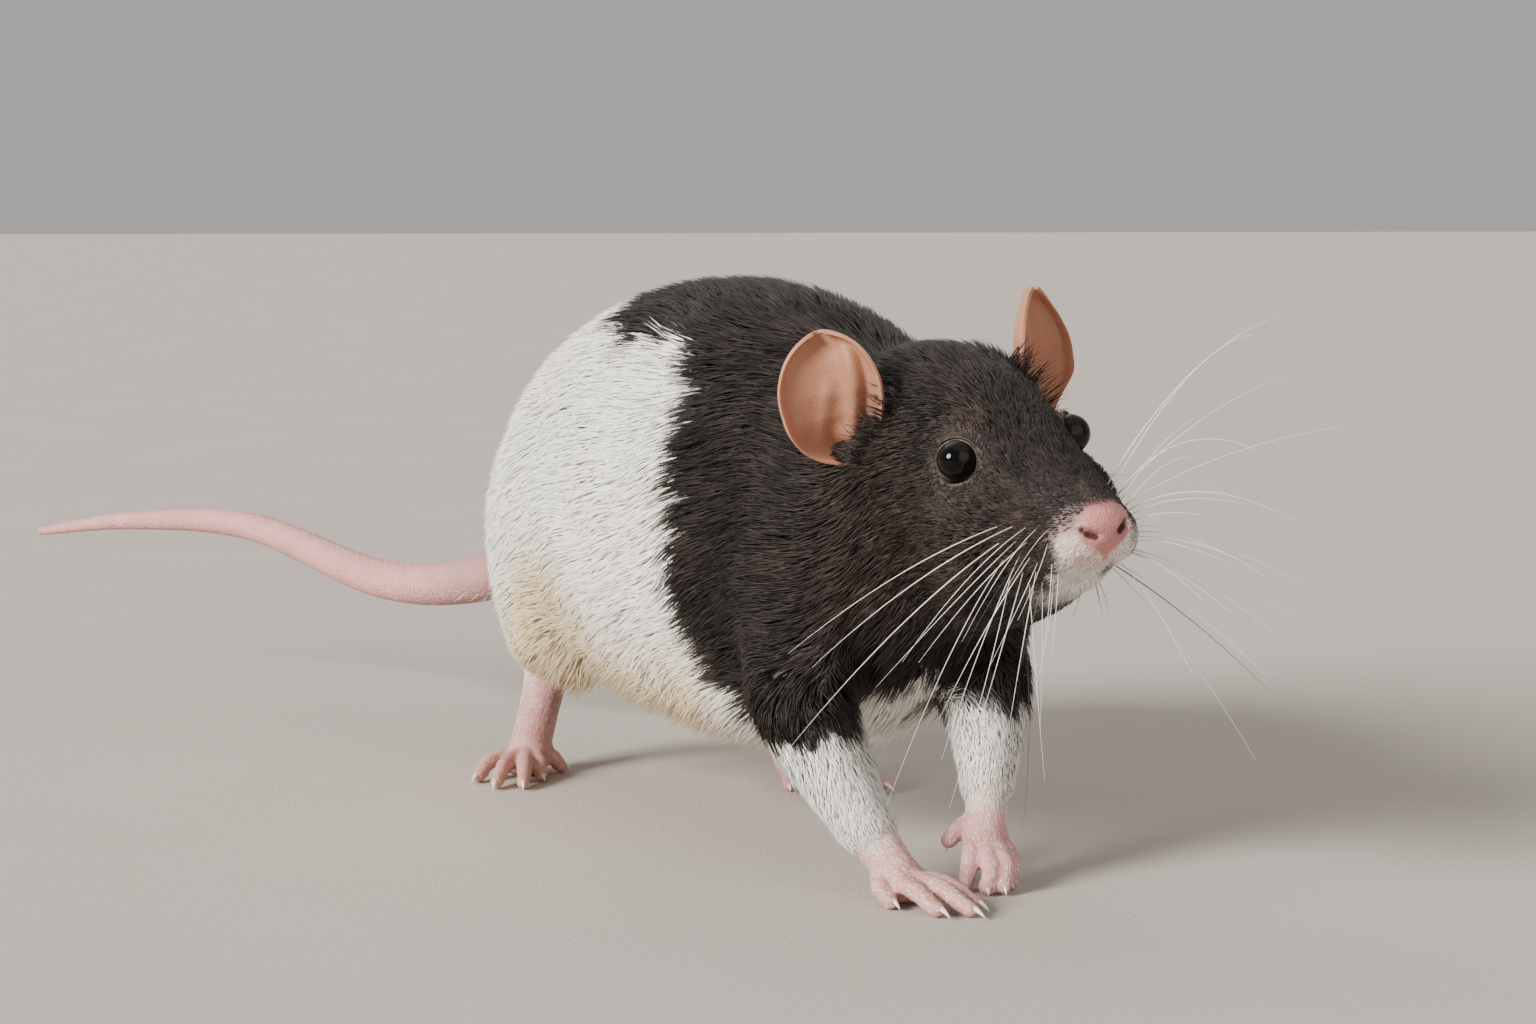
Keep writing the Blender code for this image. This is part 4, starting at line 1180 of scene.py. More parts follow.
class RAT_OT_skin(bpy.types.Operator):
    """Fuse the flesh into one skin, lay it under the coat and shape the face"""

    bl_idname = "rat.skin"
    bl_label = "Skin"

    def execute(self, context):
        skin, coat = context.scene.rat_skin, context.scene.rat_coat
        mesh = fused_flesh(skin.voxel)
        obj = thinned(mesh, lay_under_coat(mesh, coat.depth), skin.triangles)
        mesh = obj.data
        if not len(mesh.polygons):
            raise RuntimeError("the skin came out empty")
        points = vertex_rows(mesh)
        bare = np.maximum.reduce([foot_share(points), tail_share(points), 0.75 * lips(points)])
        for belongs, share, _ in limb_shares(points).values():
            bare = np.maximum(bare, 0.7 * belongs * step(0.45, 0.85, share))
        paint(mesh, "marking", (pigment(points), browns(points), cream_and_belly_shade(points)))
        # The third channel is painted shade in the nostrils and along the mouth
        paint(mesh, "bare", (bare, pinks(points), nostril_and_mouth_shade(points)))
        mesh.materials.clear()
        mesh.materials.append(skin_material(skin, coat))
        mesh.shade_smooth()
        finish_piece(obj, "bare_skin", *SKIN_NODES)
        return {"FINISHED"}


def before_nose(points, path):
    """How far points of the nose lie from a path of the head's frame, seen from the front."""
    head = in_head(points)
    _, away, _, _ = along_line(head * (1, 0, 1), path * (1, 0, 1))
    return away + 50.0 * (head[:, 1] > -22.0)


def nostril_and_mouth_shade(points):
    """Painted shade: 1 deep in the nostrils, less round them and along the line of the mouth and the lip's
    split.
    """
    nostril, _, lip, split = face_plan()
    dark = np.zeros(len(points))
    for side in (-1, 1):
        flip = np.array((side, 1, 1))
        away = before_nose(points, nostril[-2:] * flip)
        dark = np.maximum(dark, step(0.75, 0.35, away))
        dark = np.maximum(dark, 0.24 * np.exp(-((away / 1.9) ** 2)))
        dark = np.maximum(dark, 0.8 * step(0.5, 0.2, before_nose(points, nostril * flip)))
        _, away, _, _ = along_line(points, from_head(lip * flip))
        dark = np.maximum(dark, 0.4 * step(0.7, 0.3, away))
    _, away, _, _ = along_line(points, from_head(split))
    return np.maximum(dark, 0.35 * step(0.7, 0.3, away))


class RAT_OT_ears(bpy.types.Operator):
    """Model both ears as thin cupped leaves with their folds"""

    bl_idname = "rat.ears"
    bl_label = "Ears"

    def execute(self, context):
        material = ear_material(context.scene.rat_skin)
        for side, word in ((-1, "right"), (1, "left")):
            obj = make_ear(side, word)
            obj.data.materials.append(material)
            finish_piece(obj, "ear_skin", f"ear_{word}")
        return {"FINISHED"}


EAR_PLACE = np.array((20.7, 21.4, 11.4))  # of the left ear's middle, in the head's frame
EAR_TURN = (4.0, 5.0, 32.0)  # degrees about the head's three axes
EAR_THICKNESS = 0.62
EAR_COLUMNS = 41  # of points across the leaf
FRINGE_HAIRS = 130  # in front of each ear
# Each ear's leaf from its base up, by side: height, outer half width and inner half width
EAR_OUTLINE = {
    -1: [(-14.5, 0.6, 3.4), (-13.0, 1.0, 3.8), (-11.9, 2.2, 4.3), (-10.9, 4.4, 4.9), (-9.4, 6.4, 5.7),
         (-7.4, 7.8, 6.6), (-4.6, 8.7, 7.7), (-1.6, 9.0, 8.5), (1.4, 8.9, 8.7), (4.2, 8.1, 8.0),
         (6.8, 6.6, 6.6), (8.8, 4.5, 4.6), (10.0, 2.3, 2.4), (10.4, 0.8, 0.9)],
    1: [(-14.5, 3.0, 4.2), (-13.0, 4.2, 5.2), (-9.5, 5.8, 8.0), (-6.0, 7.2, 10.6), (-3.0, 7.3, 11.6),
        (0.0, 6.7, 11.2), (3.0, 5.5, 9.8), (5.8, 4.0, 7.5), (8.0, 2.5, 5.0), (9.5, 1.3, 3.1),
        (10.4, 0.4, 0.9)],
}


def hump(x, middle, width):
    """A smooth bump of height 1 over its middle."""
    return math.exp(-(((x - middle) / width) ** 2))


def ear_point(side, z, outer, inner, u):
    """A point of the ear's leaf in its own frame: u from -1 at the outer edge to 1 at the inner."""
    half = outer if u < 0 else inner
    low = max(0.0, -z) / 13.0
    cup = (3.1 + 3.4 * low) * ((outer + inner) / 17.4) ** 0.5 * (1 - u * u)
    fade = step(9.5, 4.0, z) * step(-13.0, -9.0, z)
    crease = 0.36 + 0.022 * (z + 2)
    ridge = 1.3 * hump(u, crease, 0.15) * fade
    groove = 0.8 * hump(u - crease, 0.27, 0.13) * fade
    branch = 0.4 * hump(u + 0.12, 0.05 * z, 0.13) * step(-9, -5, z) * step(3.5, 0.0, z)
    knob = 1.5 * math.exp(-(((u - 0.02) / 0.2) ** 2) - ((z + 8.2) / 2.2) ** 2)
    rim = 0.8 * step(0.86, 1.0, abs(u)) * step(-10.0, -4.0, z)
    lean = 0.03 * z * z if z > 0 else 0.32 * max(0.0, -4.0 - z)
    curl = 0.5 * step(7.0, 10.4, z)
    wave = 0.02 * math.sin(1.1 * z + 3.0 * u) + 0.012 * math.sin(2.3 * z - 5.0 * u)
    back = cup - ridge + groove - branch - knob - rim + lean - curl + wave
    return (-side * u * half * (1 - 0.03 * rim), back, z)


def place_ear(side, points):
    """Points of the ear's own frame turned and set on the head."""
    tip, lean, turn = (math.radians(a) for a in EAR_TURN)
    spin = Euler((0, 0, side * turn)).to_matrix() @ Euler((0, side * lean, 0)).to_matrix()
    spin = spin @ Euler((tip, 0, 0)).to_matrix()
    return from_head(points @ np.array(spin).T + EAR_PLACE * (side, 1, 1))


def make_ear(side, word):
    """One ear: a leaf of points with its paler rim and the painted shade of its hollow marked, then
    thickened and rounded.
    """
    outline = catmull(EAR_OUTLINE[side], 5)
    across = np.sin(np.linspace(-1, 1, EAR_COLUMNS) * math.pi / 2)
    verts, rims_and_shade = [], []
    top = outline[-1, 0]
    for z, outer, inner in outline:
        for u in across:
            verts.append(ear_point(side, z, max(outer, 0.3), max(inner, 0.3), u))
            edge = max(step(0.93, 1.0, abs(u)) * step(-10.0, -5.0, z), step(top - 0.5, top, z))
            # Painted shade in the inner hollow and low in the middle of the cup
            hollow_shade = step(0.25, 0.5, u) * step(0.95, 0.75, u) * step(4.0, -3.0, z)
            rims_and_shade.append((0.6 * edge, max(hollow_shade, step(0.75, 0.2, abs(u)) * step(-4.0, -10.0, z))))
    n = EAR_COLUMNS
    starts = [i * n + j for i in range(len(outline) - 1) for j in range(n - 1)]
    faces = [(a, a + 1, a + n + 1, a + n) for a in starts]
    mesh = bpy.data.meshes.new(f"ear_{word}_leaf")
    mesh.from_pydata(to_model(place_ear(side, np.array(verts))).tolist(), [], faces)
    turn_outwards(mesh)
    paint(mesh, "rim", np.array(rims_and_shade).T)
    obj = keep(f"ear_{word}_leaf", mesh)
    thick = obj.modifiers.new("thick", "SOLIDIFY")
    thick.thickness = EAR_THICKNESS * MM
    thick.offset = 0.0
    round_off = obj.modifiers.new("round", "SUBSURF")
    round_off.levels = round_off.render_levels = 1
    whole = plain_mesh(obj, f"ear_{word}_leaf")
    remove(obj)
    whole.shade_smooth()
    return keep(f"ear_{word}_leaf", whole)


class RAT_OT_eyes(bpy.types.Operator):
    """Make the eyeballs with their bulging corneas, and the rims of the lids"""

    bl_idname = "rat.eyes"
    bl_label = "Eyes and lids"

    def execute(self, context):
        material = eye_material()
        for side, word in ((-1, "right"), (1, "left")):
            obj = make_eye(side, word)
            obj.data.materials.append(material)
            finish_piece(obj, "eye", f"eye_{word}")
        lids = []
        for side in (-1, 1):
            ring = lid_ring(side, 3.46, 0.3, 40)[:-1]
            lids.append((ring, 0.19 + 0.05 * np.sin(np.linspace(0, 2 * math.pi, len(ring))), True))
        made, tree, shader = new_material("lid_skin", 0.35, 0.5)
        tone = clouds(tree, 1300.0, 3.0, 0.35, 0.65)
        colour = mix_node(tree, tone, (0.008, 0.006, 0.006), (0.04, 0.03, 0.027))
        tree.links.new(colour, shader.inputs["Base Color"])
        bump(tree, shader, noise_node(tree, 2600.0), 0.00006)
        finish_piece(sweep("lid_rims", lids, made, 10, 72), "dark_coat")
        return {"FINISHED"}


def make_eye(side, word):
    """A ball a little fuller at the cornea, with the iris marked on its points."""
    axis = unit(EYE_AXIS * (side, 1, 1))
    mesh = bpy.data.meshes.new(f"eye_{word}_ball")
    with editing(mesh) as bm:
        bmesh.ops.create_icosphere(bm, subdivisions=5, radius=1.0)
    ways = unit(read_rows(mesh.vertices, "co", 3).astype(float))
    facing = ways @ axis
    reach = EYE_RADIUS * (0.985 + 0.035 * step(0.55, 1.0, facing))
    points = from_head(ways * reach[:, None] + eye_place(side))
    set_vertices(mesh, points)
    mark(mesh, "iris", step(0.80, 0.84, facing))
    mesh.shade_smooth()
    return keep(f"eye_{word}_ball", mesh)


class RAT_OT_tail(bpy.types.Operator):
    """Sweep the bare tail with its rings of scales"""

    bl_idname = "rat.tail"
    bl_label = "Tail"

    def execute(self, context):
        path = catmull([(*p, r) for p, r in zip(TAIL_PATH, TAIL_RADII)], 16)
        path = path[int(TAIL_START * len(path)) :]
        material = tail_material(context.scene.rat_skin)
        spline = (path[:, :3], path[:, 3], False)
        obj = sweep("tail_scales", [spline], material, 28, TAIL_RINGS * 4, TAIL_RINGS, RING_HEIGHT)
        finish_piece(obj, "bare_skin", "tail_middle", "tail_end")
        return {"FINISHED"}


class RAT_OT_claws(bpy.types.Operator):
    """Set a curved claw on every toe"""

    bl_idname = "rat.claws"
    bl_label = "Claws"

    def execute(self, context):
        splines = []
        for digit in (digit for plan in FEET.values() for digit in plan["digits"]):
            _, knuckle, last, tip = np.array(digit)
            root = last + (0, 0, 0.35) - unit(last - knuckle) * 0.4
            out = tip - root
            middle = root + out * 0.4 + (0, 0, 0.42)
            late = root + out * 0.75 + (0, 0, 0.3)
            curve = catmull([(*p, r) for p, r in zip((root, middle, late, tip), CLAW_RADII)], 5)
            splines.append((curve[:, :3], curve[:, 3], False))
        finish_piece(sweep("claws", splines, horn_material(), 10, 16), "bare_skin")
        return {"FINISHED"}


class RAT_OT_whiskers(bpy.types.Operator):
    """Grow the whiskers in rows on both pads, the brow hairs and the chin hairs"""

    bl_idname = "rat.whiskers"
    bl_label = "Whiskers"

    def execute(self, context):
        settings = context.scene.rat_whiskers
        draw = np.random.default_rng(SEED + 5)
        surface = BVHTree.FromObject(bpy.data.objects["skin"], context.evaluated_depsgraph_get())
        splines, darks = [], []
        for side in (-1, 1):
            for root, way, bow, length, thickness, dark in whisker_plan(side, settings, draw):
                near, normal, _, _ = surface.find_nearest(Vector(to_model(root)))
                start = to_body(np.array(near)) - np.array(normal) * 0.3
                splines.append(bent_hair(start, way, bow, length, thickness, draw))
                darks.append(dark)
        obj = sweep("whiskers", splines, whisker_material(), 5, 16)
        mark(obj.data, "dark", np.repeat(darks, len(obj.data.vertices) // len(splines)))
        finish_piece(obj, "white_coat")
        return {"FINISHED"}


# Brow, cheek and chin hairs: root and way in the head's frame, and length
LONE_HAIRS = (
    ((6.2, 0.6, 5.6), (0.5, 0.1, 0.9), 14.0), ((6.8, 2.2, 5.8), (0.55, 0.4, 0.8), 11.0),
    ((13.0, 6.0, -8.5), (0.9, 0.4, -0.2), 16.0), ((3.2, -17.0, -21.5), (0.4, 0.0, -0.9), 7.0),
    ((1.6, -18.5, -21.5), (0.2, -0.1, -1.0), 6.0), ((4.4, -13.0, -22.0), (0.5, 0.3, -0.9), 6.0),
)
# For each side: how far the top and bottom rows rise in degrees, the turn of the front column, the bow
WHISKER_FANS = {
    -1: (-8.0, -82.0, -38.0, (-0.15, 0.42, -0.55)),
    1: (52.0, -44.0, -62.0, (0.1, -0.12, -0.45)),
}
# the left whiskers stay inside the limit on the model's box
LEFT_REACH, LEFT_LENGTH = 36.0, 46.0  # how far the left whiskers reach out to the side, kept near the model's box, and their greatest length


def whisker_plan(side, settings, draw):
    """Each whisker's root in the body's frame, way, bow, length, thickness and darkness."""
    flip = np.array((side, 1, 1))
    high, low, front, bow = WHISKER_FANS[side]
    for row in range(5):
        for column in range(5 if row < 4 else 4):
            back = 1 - column / 4
            root = (6.4 + 1.9 * back, -20.8 + 11.5 * back, -10.0 - 2.3 * row)
            rise = math.radians(high + (low - high) * row / 4 + draw.normal(0, 5.0))
            turn = math.radians(front + 62.0 * back + draw.normal(0, 5.0))
            flat = math.cos(rise)
            way = np.array((flat * math.cos(turn), flat * math.sin(turn), math.sin(rise)))
            length = settings.length * (0.30 + 0.66 * back**1.2) * draw.uniform(0.8, 1.05)
            if side > 0:
                length = min(length, LEFT_REACH / max(way[0], 0.3), LEFT_LENGTH)
            thickness = settings.thickness * (0.4 + 0.5 * back) * draw.uniform(0.65, 1.15)
            dark = float(draw.uniform() < (0.45 if back < 0.3 else 0.1))
            way = way * flip @ HEAD_AXES.T
            yield from_head(root * flip), way, np.array(bow) * flip, length, thickness, dark
    for place, way, length in LONE_HAIRS:
        way = unit(np.array(way) * flip @ HEAD_AXES.T)
        yield from_head(place * flip), way, np.array((0.1, 0.4, -0.3)) * flip, length, 0.055, 1.0


def bent_hair(start, way, bow, length, thickness, draw):
    """A tapering hair that leaves along its way and curves back and down along its bow."""
    t = np.linspace(0, 1, 12)
    bow = bow + draw.normal(0, 0.12, 3)
    points = start + length * (np.outer(t, way) + np.outer(t**2, bow) * draw.uniform(0.45, 0.95))
    reach = np.concatenate([[0], np.cumsum(np.linalg.norm(np.diff(points, axis=0), axis=1))])
    points = start + (points - start) * (length / reach[-1])
    points[:, 2] = np.maximum(points[:, 2], 0.6)
    return points, thickness * (1 - t) ** 0.8 + 0.015, False


CLUMP = 14  # tufts to a lock, about
MOST_TUFTS = 19500  # in one coat piece, so that it stays under 200,000 triangles
STRAY = 0.13  # how far single tufts turn aside from the lie of the coat
STEEPNESS = 0.22  # least rise of a tuft for its length, away from the limbs and feet
MOST_RISE = 0.55  # of a tuft for its length
EAR_FRONT, EAR_FRONT_RISE = (12.0, 15.0, 13.0), 2.6  # where the hairs in front of the ears stand up
BELLY_HANG = 3.4  # how far the belly's hairs hang down
WIDTH_SHARES = ((1.0, 3.0, 6.0, 11.0), (0.34, 0.5, 0.75, 1.0))  # of the trunk's width, by length
BLUR = ((1.0, 8.0), (0.15, 0.5))  # how far tufts stray over the markings' edges, by length
# A tuft's seven points: three round the root, three round the middle, and the tip
TUFT_FACES = ((0, 1, 4, 3), (1, 2, 5, 4), (2, 0, 3, 5), (3, 4, 6), (4, 5, 6), (5, 3, 6), (0, 2, 1))
TUFT_ALONG = (0.0, 0.0, 0.0, 0.55, 0.55, 0.55, 1.0)
TUFT_PATCH = np.array([(-1, -1), (1, -1), (0, -0.6), (-1, 0.3), (1, 0.3), (0, 0.5), (0, 1)]) * 0.0015


def coat_regions(points):
    """A region's name for each point, so that every coat piece is a part of the body."""
    hy = in_head(points)[:, 1]
    x, y, z = points.T
    side = np.where(x < 0, "right", "left")
    names = np.char.add("coat_flank_", side).astype(object)
    for name, inside in (
        ("rump", y > 48), ("belly", (z < 30) & (y > -45)), ("shoulder", y < -22),
        ("cheek", (hy < 26) & (z > 36)),
    ):
        whole = "coat_belly" if name == "belly" else np.char.add(f"coat_{name}_", side).astype(object)
        names = np.where(inside, whole, names)
    names[(hy < -4) & (z > 40)] = "coat_muzzle"
    for name, (belongs, _, _) in limb_shares(points).items():
        names[(belongs > 0.45) & (z < 34)] = "coat_forelegs" if "fore" in name else "coat_hindlegs"
    names[foot_share(points) > 0.4] = "coat_feet"
    share, away, _, _ = along_line(points, TAIL_PATH)
    names[(share > 0.05) & (away < 18) & (y > 84)] = "coat_tail_root"
    return names


def grow_tufts(context):
    """Every tuft's root, middle and tip, with its width, marking and region."""
    coat = context.scene.rat_coat
    obj = bpy.data.objects["skin"]
    mesh = obj.data
    mesh.calc_loop_triangles()
    triangles = read_rows(mesh.loop_triangles, "vertices", 3, np.int32)
    corners = vertex_rows(mesh)
    normals = vertex_normals(mesh)
    a, b, c = (corners[triangles[:, i]] for i in range(3))
    area = np.linalg.norm(np.cross(b - a, c - a), axis=1) / 2
    weight = area * coat_density((a + b + c) / 3)
    draw = np.random.default_rng(SEED)
    picks = np.searchsorted(np.cumsum(weight) / weight.sum(), draw.uniform(size=coat.tufts))
    picks = np.minimum(picks, len(triangles) - 1)
    share = np.sort(draw.uniform(size=(coat.tufts, 2)), axis=1)
    blend = np.c_[share[:, 0], share[:, 1] - share[:, 0], 1 - share[:, 1]]
    corner_ids = triangles[picks]
    root = np.einsum("ij,ijk->ik", blend, corners[corner_ids])
    normal = unit(np.einsum("ij,ijk->ik", blend, normals[corner_ids]))

    lie = lie_of_coat(root, normal)
    side = np.cross(normal, lie)
    stray = draw.normal(0, STRAY, coat.tufts)
    lie = unit(lie + side * stray[:, None])
    length = coat_length(root) * draw.uniform(0.72, 1.15, coat.tufts)
    depth = coat_depth(root, coat.depth)
    bare = np.maximum(foot_share(root), tail_share(root))
    limbs = np.max([belongs for belongs, _, _ in limb_shares(root).values()], axis=0)
    steep = STEEPNESS * (1 - 0.5 * np.maximum(bare, limbs))
    rise = np.maximum(depth, steep * length) * draw.uniform(0.55, 1.08, coat.tufts)
    tufty = np.linalg.norm(in_head(root) - EAR_FRONT, axis=1)
    rise = rise + EAR_FRONT_RISE * step(9.0, 3.0, tufty) * draw.uniform(0.2, 1.0, coat.tufts)
    rise = np.minimum(rise, MOST_RISE * length)
    _, y, z = root.T
    hang = BELLY_HANG * step(-0.1, -0.75, normal[:, 2]) * step(-52, -40, y) * step(62, 30, y)
    hang = hang * step(36, 28, z) * (1 - bare) * draw.uniform(0.2, 1.3, coat.tufts)

    tip_flat = root + lie * np.sqrt(np.maximum(length**2 - rise**2, 0.1))[:, None]
    tip_flat, clump = gather_clumps(root, tip_flat, length, draw)
    middle_flat = root + (tip_flat - root) * 0.5
    surface = BVHTree.FromObject(obj, context.evaluated_depsgraph_get())
    tip = lifted(surface, tip_flat, rise) - np.outer(hang, (0, 0, 1))
    middle = lifted(surface, middle_flat, rise * 0.66) - np.outer(hang * 0.35, (0, 0, 1))
    width = coat.width * np.interp(length, *WIDTH_SHARES)
    width = width * (1 - 0.35 * bare) * draw.uniform(0.7, 1.25, coat.tufts)
    tufts = {
        "root": root - normal * np.minimum(0.3, length * 0.1)[:, None], "middle": middle, "tip": tip,
        "normal": normal, "width": width, "place": root, "region": coat_regions(root),
        "random": 0.55 * draw.uniform(size=coat.tufts) + 0.45 * draw.uniform(size=coat.tufts)[clump],
    }
    fringe = fringe_tufts(surface, draw, FRINGE_HAIRS)
    tufts = {key: np.concatenate([value, fringe[key]]) for key, value in tufts.items()}
    blur = np.interp(coat_length(tufts["place"]), *BLUR)[:, None]
    place = tufts["place"] + blur * draw.normal(size=tufts["place"].shape)
    tufts["marking"] = np.c_[pigment(place), browns(place), cream_and_belly_shade(place)]
    return tufts


def fringe_tufts(surface, draw, count):
    """The hairs in front of the ears as tufts."""
    start, way = fringe_roots(draw, count)
    root, normal = nearest_on(surface, start)
    length = draw.uniform(3.0, 6.5, len(root))[:, None]
    tip = root + way * length + normal * 0.25 * length
    middle = root + way * length * 0.5 + normal * 0.3 * length
    return {
        "root": root - normal * 0.3, "middle": middle, "tip": tip, "normal": normal,
        "width": draw.uniform(0.13, 0.22, len(root)), "place": root, "region": coat_regions(root),
        "random": draw.uniform(size=len(root)),
    }


def ear_edge(side, heights, u):
    """Places along a line of the ear's leaf, in the animal's frame."""
    outline = np.array(EAR_OUTLINE[side])
    out = []
    for z in heights:
        outer, inner = (np.interp(z, outline[:, 0], outline[:, i]) for i in (1, 2))
        out.append(ear_point(side, z, outer, inner, u))
    return place_ear(side, np.array(out))


def fringe_roots(draw, count):
    """Roots and ways of the hairs that stand up along the front edge of each ear's base."""
    roots, ways = [], []
    for side in (-1, 1):
        heights = draw.uniform(-14.0, 3.0, count)
        edge = ear_edge(side, heights, 0.98)
        into = np.array((-side * 1.6, -1.2, -0.6)) @ HEAD_AXES.T
        roots.append(edge + into * draw.uniform(0.2, 1.6, (count, 1)) + draw.normal(0, 0.5, (count, 3)))
        way = np.array((side * 0.85, 0.25, 0.45)) + draw.normal(0, 0.25, (count, 3))
        ways.append(unit(way @ HEAD_AXES.T))
    return np.vstack(roots), np.vstack(ways)


def gather_clumps(root, tip, length, draw):
    """Tips drawn part way towards their clump's own tip, so that locks form, and each one's clump."""
    leaders = np.sort(draw.choice(len(root), len(root) // CLUMP, replace=False))
    tree = KDTree(len(leaders))
    for i, leader in enumerate(leaders):
        tree.insert(root[leader], i)
    tree.balance()
    nearest = leaders[np.array([tree.find(p)[1] for p in root])]
    close = step(3.2, 1.2, np.linalg.norm(root - root[nearest], axis=1))
    pull = close * np.interp(length, [1.5, 4.0, 9.0], [0.05, 0.25, 0.6])
    pull = pull * draw.uniform(0.4, 1.0, len(root))
    return tip + (tip[nearest] - tip) * pull[:, None], nearest


def nearest_on(surface, points):
    """The nearest place on the skin to each point, and the skin's normal there."""
    near, normals = np.empty_like(points), np.empty_like(points)
    for i, place in enumerate(to_model(points)):
        near[i], normals[i], _, _ = surface.find_nearest(Vector(place))
    return to_body(near), normals


def lifted(surface, points, rise):
    """Each point moved to stand this high over the nearest place on the skin."""
    near, normals = nearest_on(surface, points)
    return near + normals * rise[:, None]


def tuft_mesh(name, tufts):
    """Closed three-sided tapering tufts as one mesh, with their attributes and OFBake map."""
    count, each = len(tufts["width"]), len(TUFT_ALONG)
    root, middle, tip, normal = (tufts[key] for key in ("root", "middle", "tip", "normal"))
    side = unit(np.cross(normal, middle - root + 1e-6)) * tufts["width"][:, None] / 2
    lift = normal * tufts["width"][:, None] * 0.32
    places = np.stack([
        root - side * 0.8, root + side * 0.8, root + lift * 0.8,
        middle - side, middle + side, middle + lift, tip,
    ], 1)
    loops = np.concatenate(TUFT_FACES)
    all_loops = (np.arange(count)[:, None] * each + loops).ravel()
    totals = np.tile([len(face) for face in TUFT_FACES], count)
    starts = np.concatenate([[0], np.cumsum(totals)[:-1]])
    mesh = bpy.data.meshes.new(name)
    mesh.vertices.add(count * each)
    mesh.vertices.foreach_set("co", to_model(places.reshape(-1, 3)).astype(np.float32).ravel())
    mesh.loops.add(len(all_loops))
    mesh.loops.foreach_set("vertex_index", all_loops.astype(np.int32))
    mesh.polygons.add(len(totals))
    mesh.polygons.foreach_set("loop_start", starts.astype(np.int32))
    mesh.polygons.foreach_set("use_smooth", np.ones(len(totals), bool))
    paint(mesh, "strand", (np.tile(TUFT_ALONG, count), np.repeat(tufts["random"], each)))
    marking = np.repeat(tufts["marking"], each, axis=0)
    paint(mesh, "marking", marking.T)
    spots = unwrap(tufts["place"], tufts["region"][0])
    flat = (spots[:, None, :] + TUFT_PATCH[None]).reshape(-1, 2)
    layer = mesh.uv_layers.new(name="OFBake")
    layer.data.foreach_set("uv", flat[all_loops].astype(np.float32).ravel())
    mesh.update(calc_edges=True)
    # White tufts are shaded like the skin under them, dark ones more like single hairs
    share = np.interp(marking[:, 0], [0.0, 1.0], [0.8, 0.1])[:, None]
    soft = unit(vertex_normals(mesh) * (1 - share) + np.repeat(normal, each, axis=0) * share)
    mesh.normals_split_custom_set_from_vertices(soft.astype(np.float32))
    return mesh


def unwrap_lines(region):
    """The middle lines that a region of the coat is unrolled about."""
    if region == "coat_tail_root":
        return [TAIL_PATH]
    if region not in ("coat_forelegs", "coat_hindlegs", "coat_feet"):
        return [TRUNK_LINE]
    return [line + foot_line(FEET[name.replace("leg", "foot")], 2)[1:] for name, (line, _) in LIMBS.items()]


def unwrap(points, region):
    """Each point's place on the skin unrolled about the middle line of its own part."""
    found = [along_line(points, line) for line in unwrap_lines(region)]
    chosen = np.argmin([away for _, away, _, _ in found], axis=0)
    spots = np.zeros((len(points), 2))
    for i, (share, _, way, nearest) in enumerate(found):
        mine = chosen == i
        if not mine.any():
            continue
        out = points[mine] - nearest[mine]
        axis = way[mine]
        across = unit(np.cross(axis, (0.0, 0.0, 1.0)))
        angle = np.arctan2(np.sum(out * across, 1), np.sum(out * np.cross(across, axis), 1))
        spots[mine, 0] = spread((angle / math.pi + 1) / 2)
        spots[mine, 1] = (i + spread(share[mine])) / len(found)
    return 0.004 + spots * 0.992


def spread(values):
    """Values brought to 0.01..0.99."""
    low, high = values.min(), values.max()
    return 0.01 + 0.98 * (values - low) / max(high - low, 1e-9)


class RAT_OT_coat(bpy.types.Operator):
    """Cover the skin with tapering tufts that follow the lie of the coat"""

    bl_idname = "rat.coat"
    bl_label = "Coat"

    def execute(self, context):
        tufts = grow_tufts(context)
        material = coat_material(context.scene.rat_coat)
        for region in sorted(set(tufts["region"])):
            members = np.flatnonzero(tufts["region"] == region)
            parts = math.ceil(len(members) / MOST_TUFTS)
            for i in range(parts):
                chosen = members[i::parts]
                name = region if parts == 1 else f"{region}_{i + 1}"
                mesh = tuft_mesh(name, {key: value[chosen] for key, value in tufts.items()})
                mesh.materials.append(material)
                dark = tufts["marking"][chosen, 0].mean() > 0.5
                finish_piece(keep(name, mesh), "dark_coat" if dark else "white_coat")
        return {"FINISHED"}


# Lights: name, the way they come from, how wide they are in degrees, share of the key's strength
LIGHTS = (
    ("key", (-1.0, -0.1, 0.46), 24.0, 1.0), ("fill", (0.2, -1.0, 0.4), 60.0, 0.13),
    ("back", (0.1, 0.9, 0.8), 50.0, 0.08),
)
LIGHT_COLOUR, SKY_COLOUR = (1.0, 0.97, 0.93), (1.0, 0.975, 0.94, 1.0)
FLOOR_SIZE = 30.0
CAMERA_PLACE, CAMERA_TURN, CAMERA_LENS = (-0.2438, -0.5660, 0.1114), (84.5, 0.0, -28.0), 70.3125


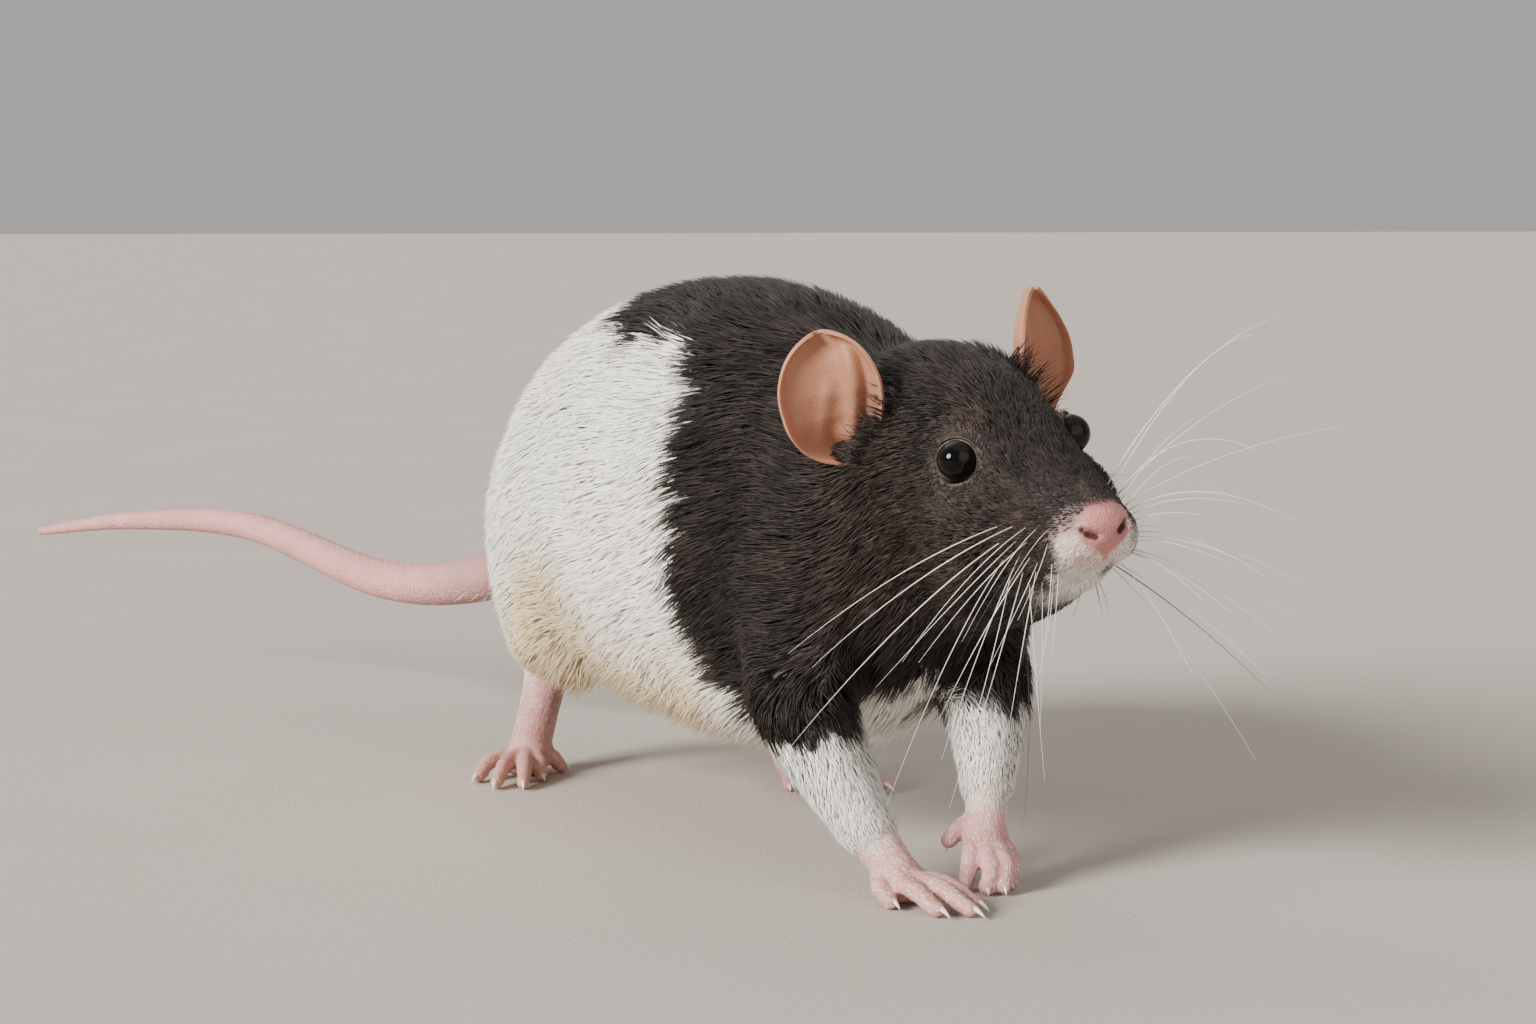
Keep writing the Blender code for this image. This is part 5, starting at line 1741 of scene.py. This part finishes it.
class RAT_OT_stage(bpy.types.Operator):
    """Set the pale floor, the soft lights and the camera"""

    bl_idname = "rat.stage"
    bl_label = "Floor, lights and camera"

    def execute(self, context):
        settings = context.scene.rat_stage
        mesh = bpy.data.meshes.new("floor")
        with editing(mesh) as bm:
            bmesh.ops.create_grid(bm, x_segments=1, y_segments=1, size=FLOOR_SIZE)
        floor = keep("floor", mesh)
        mesh.materials.append(floor_material(settings))
        for name, way, angle, share in LIGHTS:
            lamp = bpy.data.lights.new(name, "SUN")
            lamp.angle = math.radians(angle)
            lamp.energy = settings.key * share
            lamp.color = LIGHT_COLOUR
            obj = keep(name, lamp)
            obj.location = way
            obj.rotation_euler = Vector(way).to_track_quat("Z", "Y").to_euler()
        world = bpy.data.worlds.new("studio")
        context.scene.world = world
        world.use_nodes = True
        background = world.node_tree.nodes["Background"]
        background.inputs["Color"].default_value = SKY_COLOUR
        background.inputs["Strength"].default_value = settings.sky
        camera = keep("camera", bpy.data.cameras.new("camera"))
        camera.location = CAMERA_PLACE
        camera.rotation_euler = [math.radians(a) for a in CAMERA_TURN]
        camera.data.lens = CAMERA_LENS
        camera.data.sensor_width = 36.0
        camera.data.clip_start = 0.01
        context.scene.camera = camera
        return {"FINISHED"}


OPERATORS = (
    RAT_OT_stage, RAT_OT_skin, RAT_OT_ears, RAT_OT_eyes, RAT_OT_tail, RAT_OT_claws, RAT_OT_whiskers,
    RAT_OT_coat,
)
SETTINGS = {"rat_skin": RatSkin, "rat_coat": RatCoat, "rat_whiskers": RatWhiskers, "rat_stage": RatStage}


class RAT_PT_panel(bpy.types.Panel):
    """The rat's pieces and their settings"""

    bl_idname = "RAT_PT_panel"
    bl_label = "Hooded Rat"
    bl_space_type = "VIEW_3D"
    bl_region_type = "UI"
    bl_category = "Rat"

    def draw(self, context):
        for name, kind in SETTINGS.items():
            box = self.layout.box()
            for field in kind.__annotations__:
                box.prop(getattr(context.scene, name), field)
        for operator in OPERATORS:
            self.layout.operator(operator.bl_idname)


def register():
    for kind in (*SETTINGS.values(), *OPERATORS, RAT_PT_panel):
        bpy.utils.register_class(kind)
    for name, kind in SETTINGS.items():
        setattr(bpy.types.Scene, name, PointerProperty(type=kind))


def unregister():
    for name in SETTINGS:
        delattr(bpy.types.Scene, name)
    for kind in reversed((*SETTINGS.values(), *OPERATORS, RAT_PT_panel)):
        bpy.utils.unregister_class(kind)


def main():
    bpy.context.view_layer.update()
    register()
    for operator in OPERATORS:
        getattr(bpy.ops.rat, operator.bl_idname.split(".")[1])()


if __name__ == "__main__":
    main()
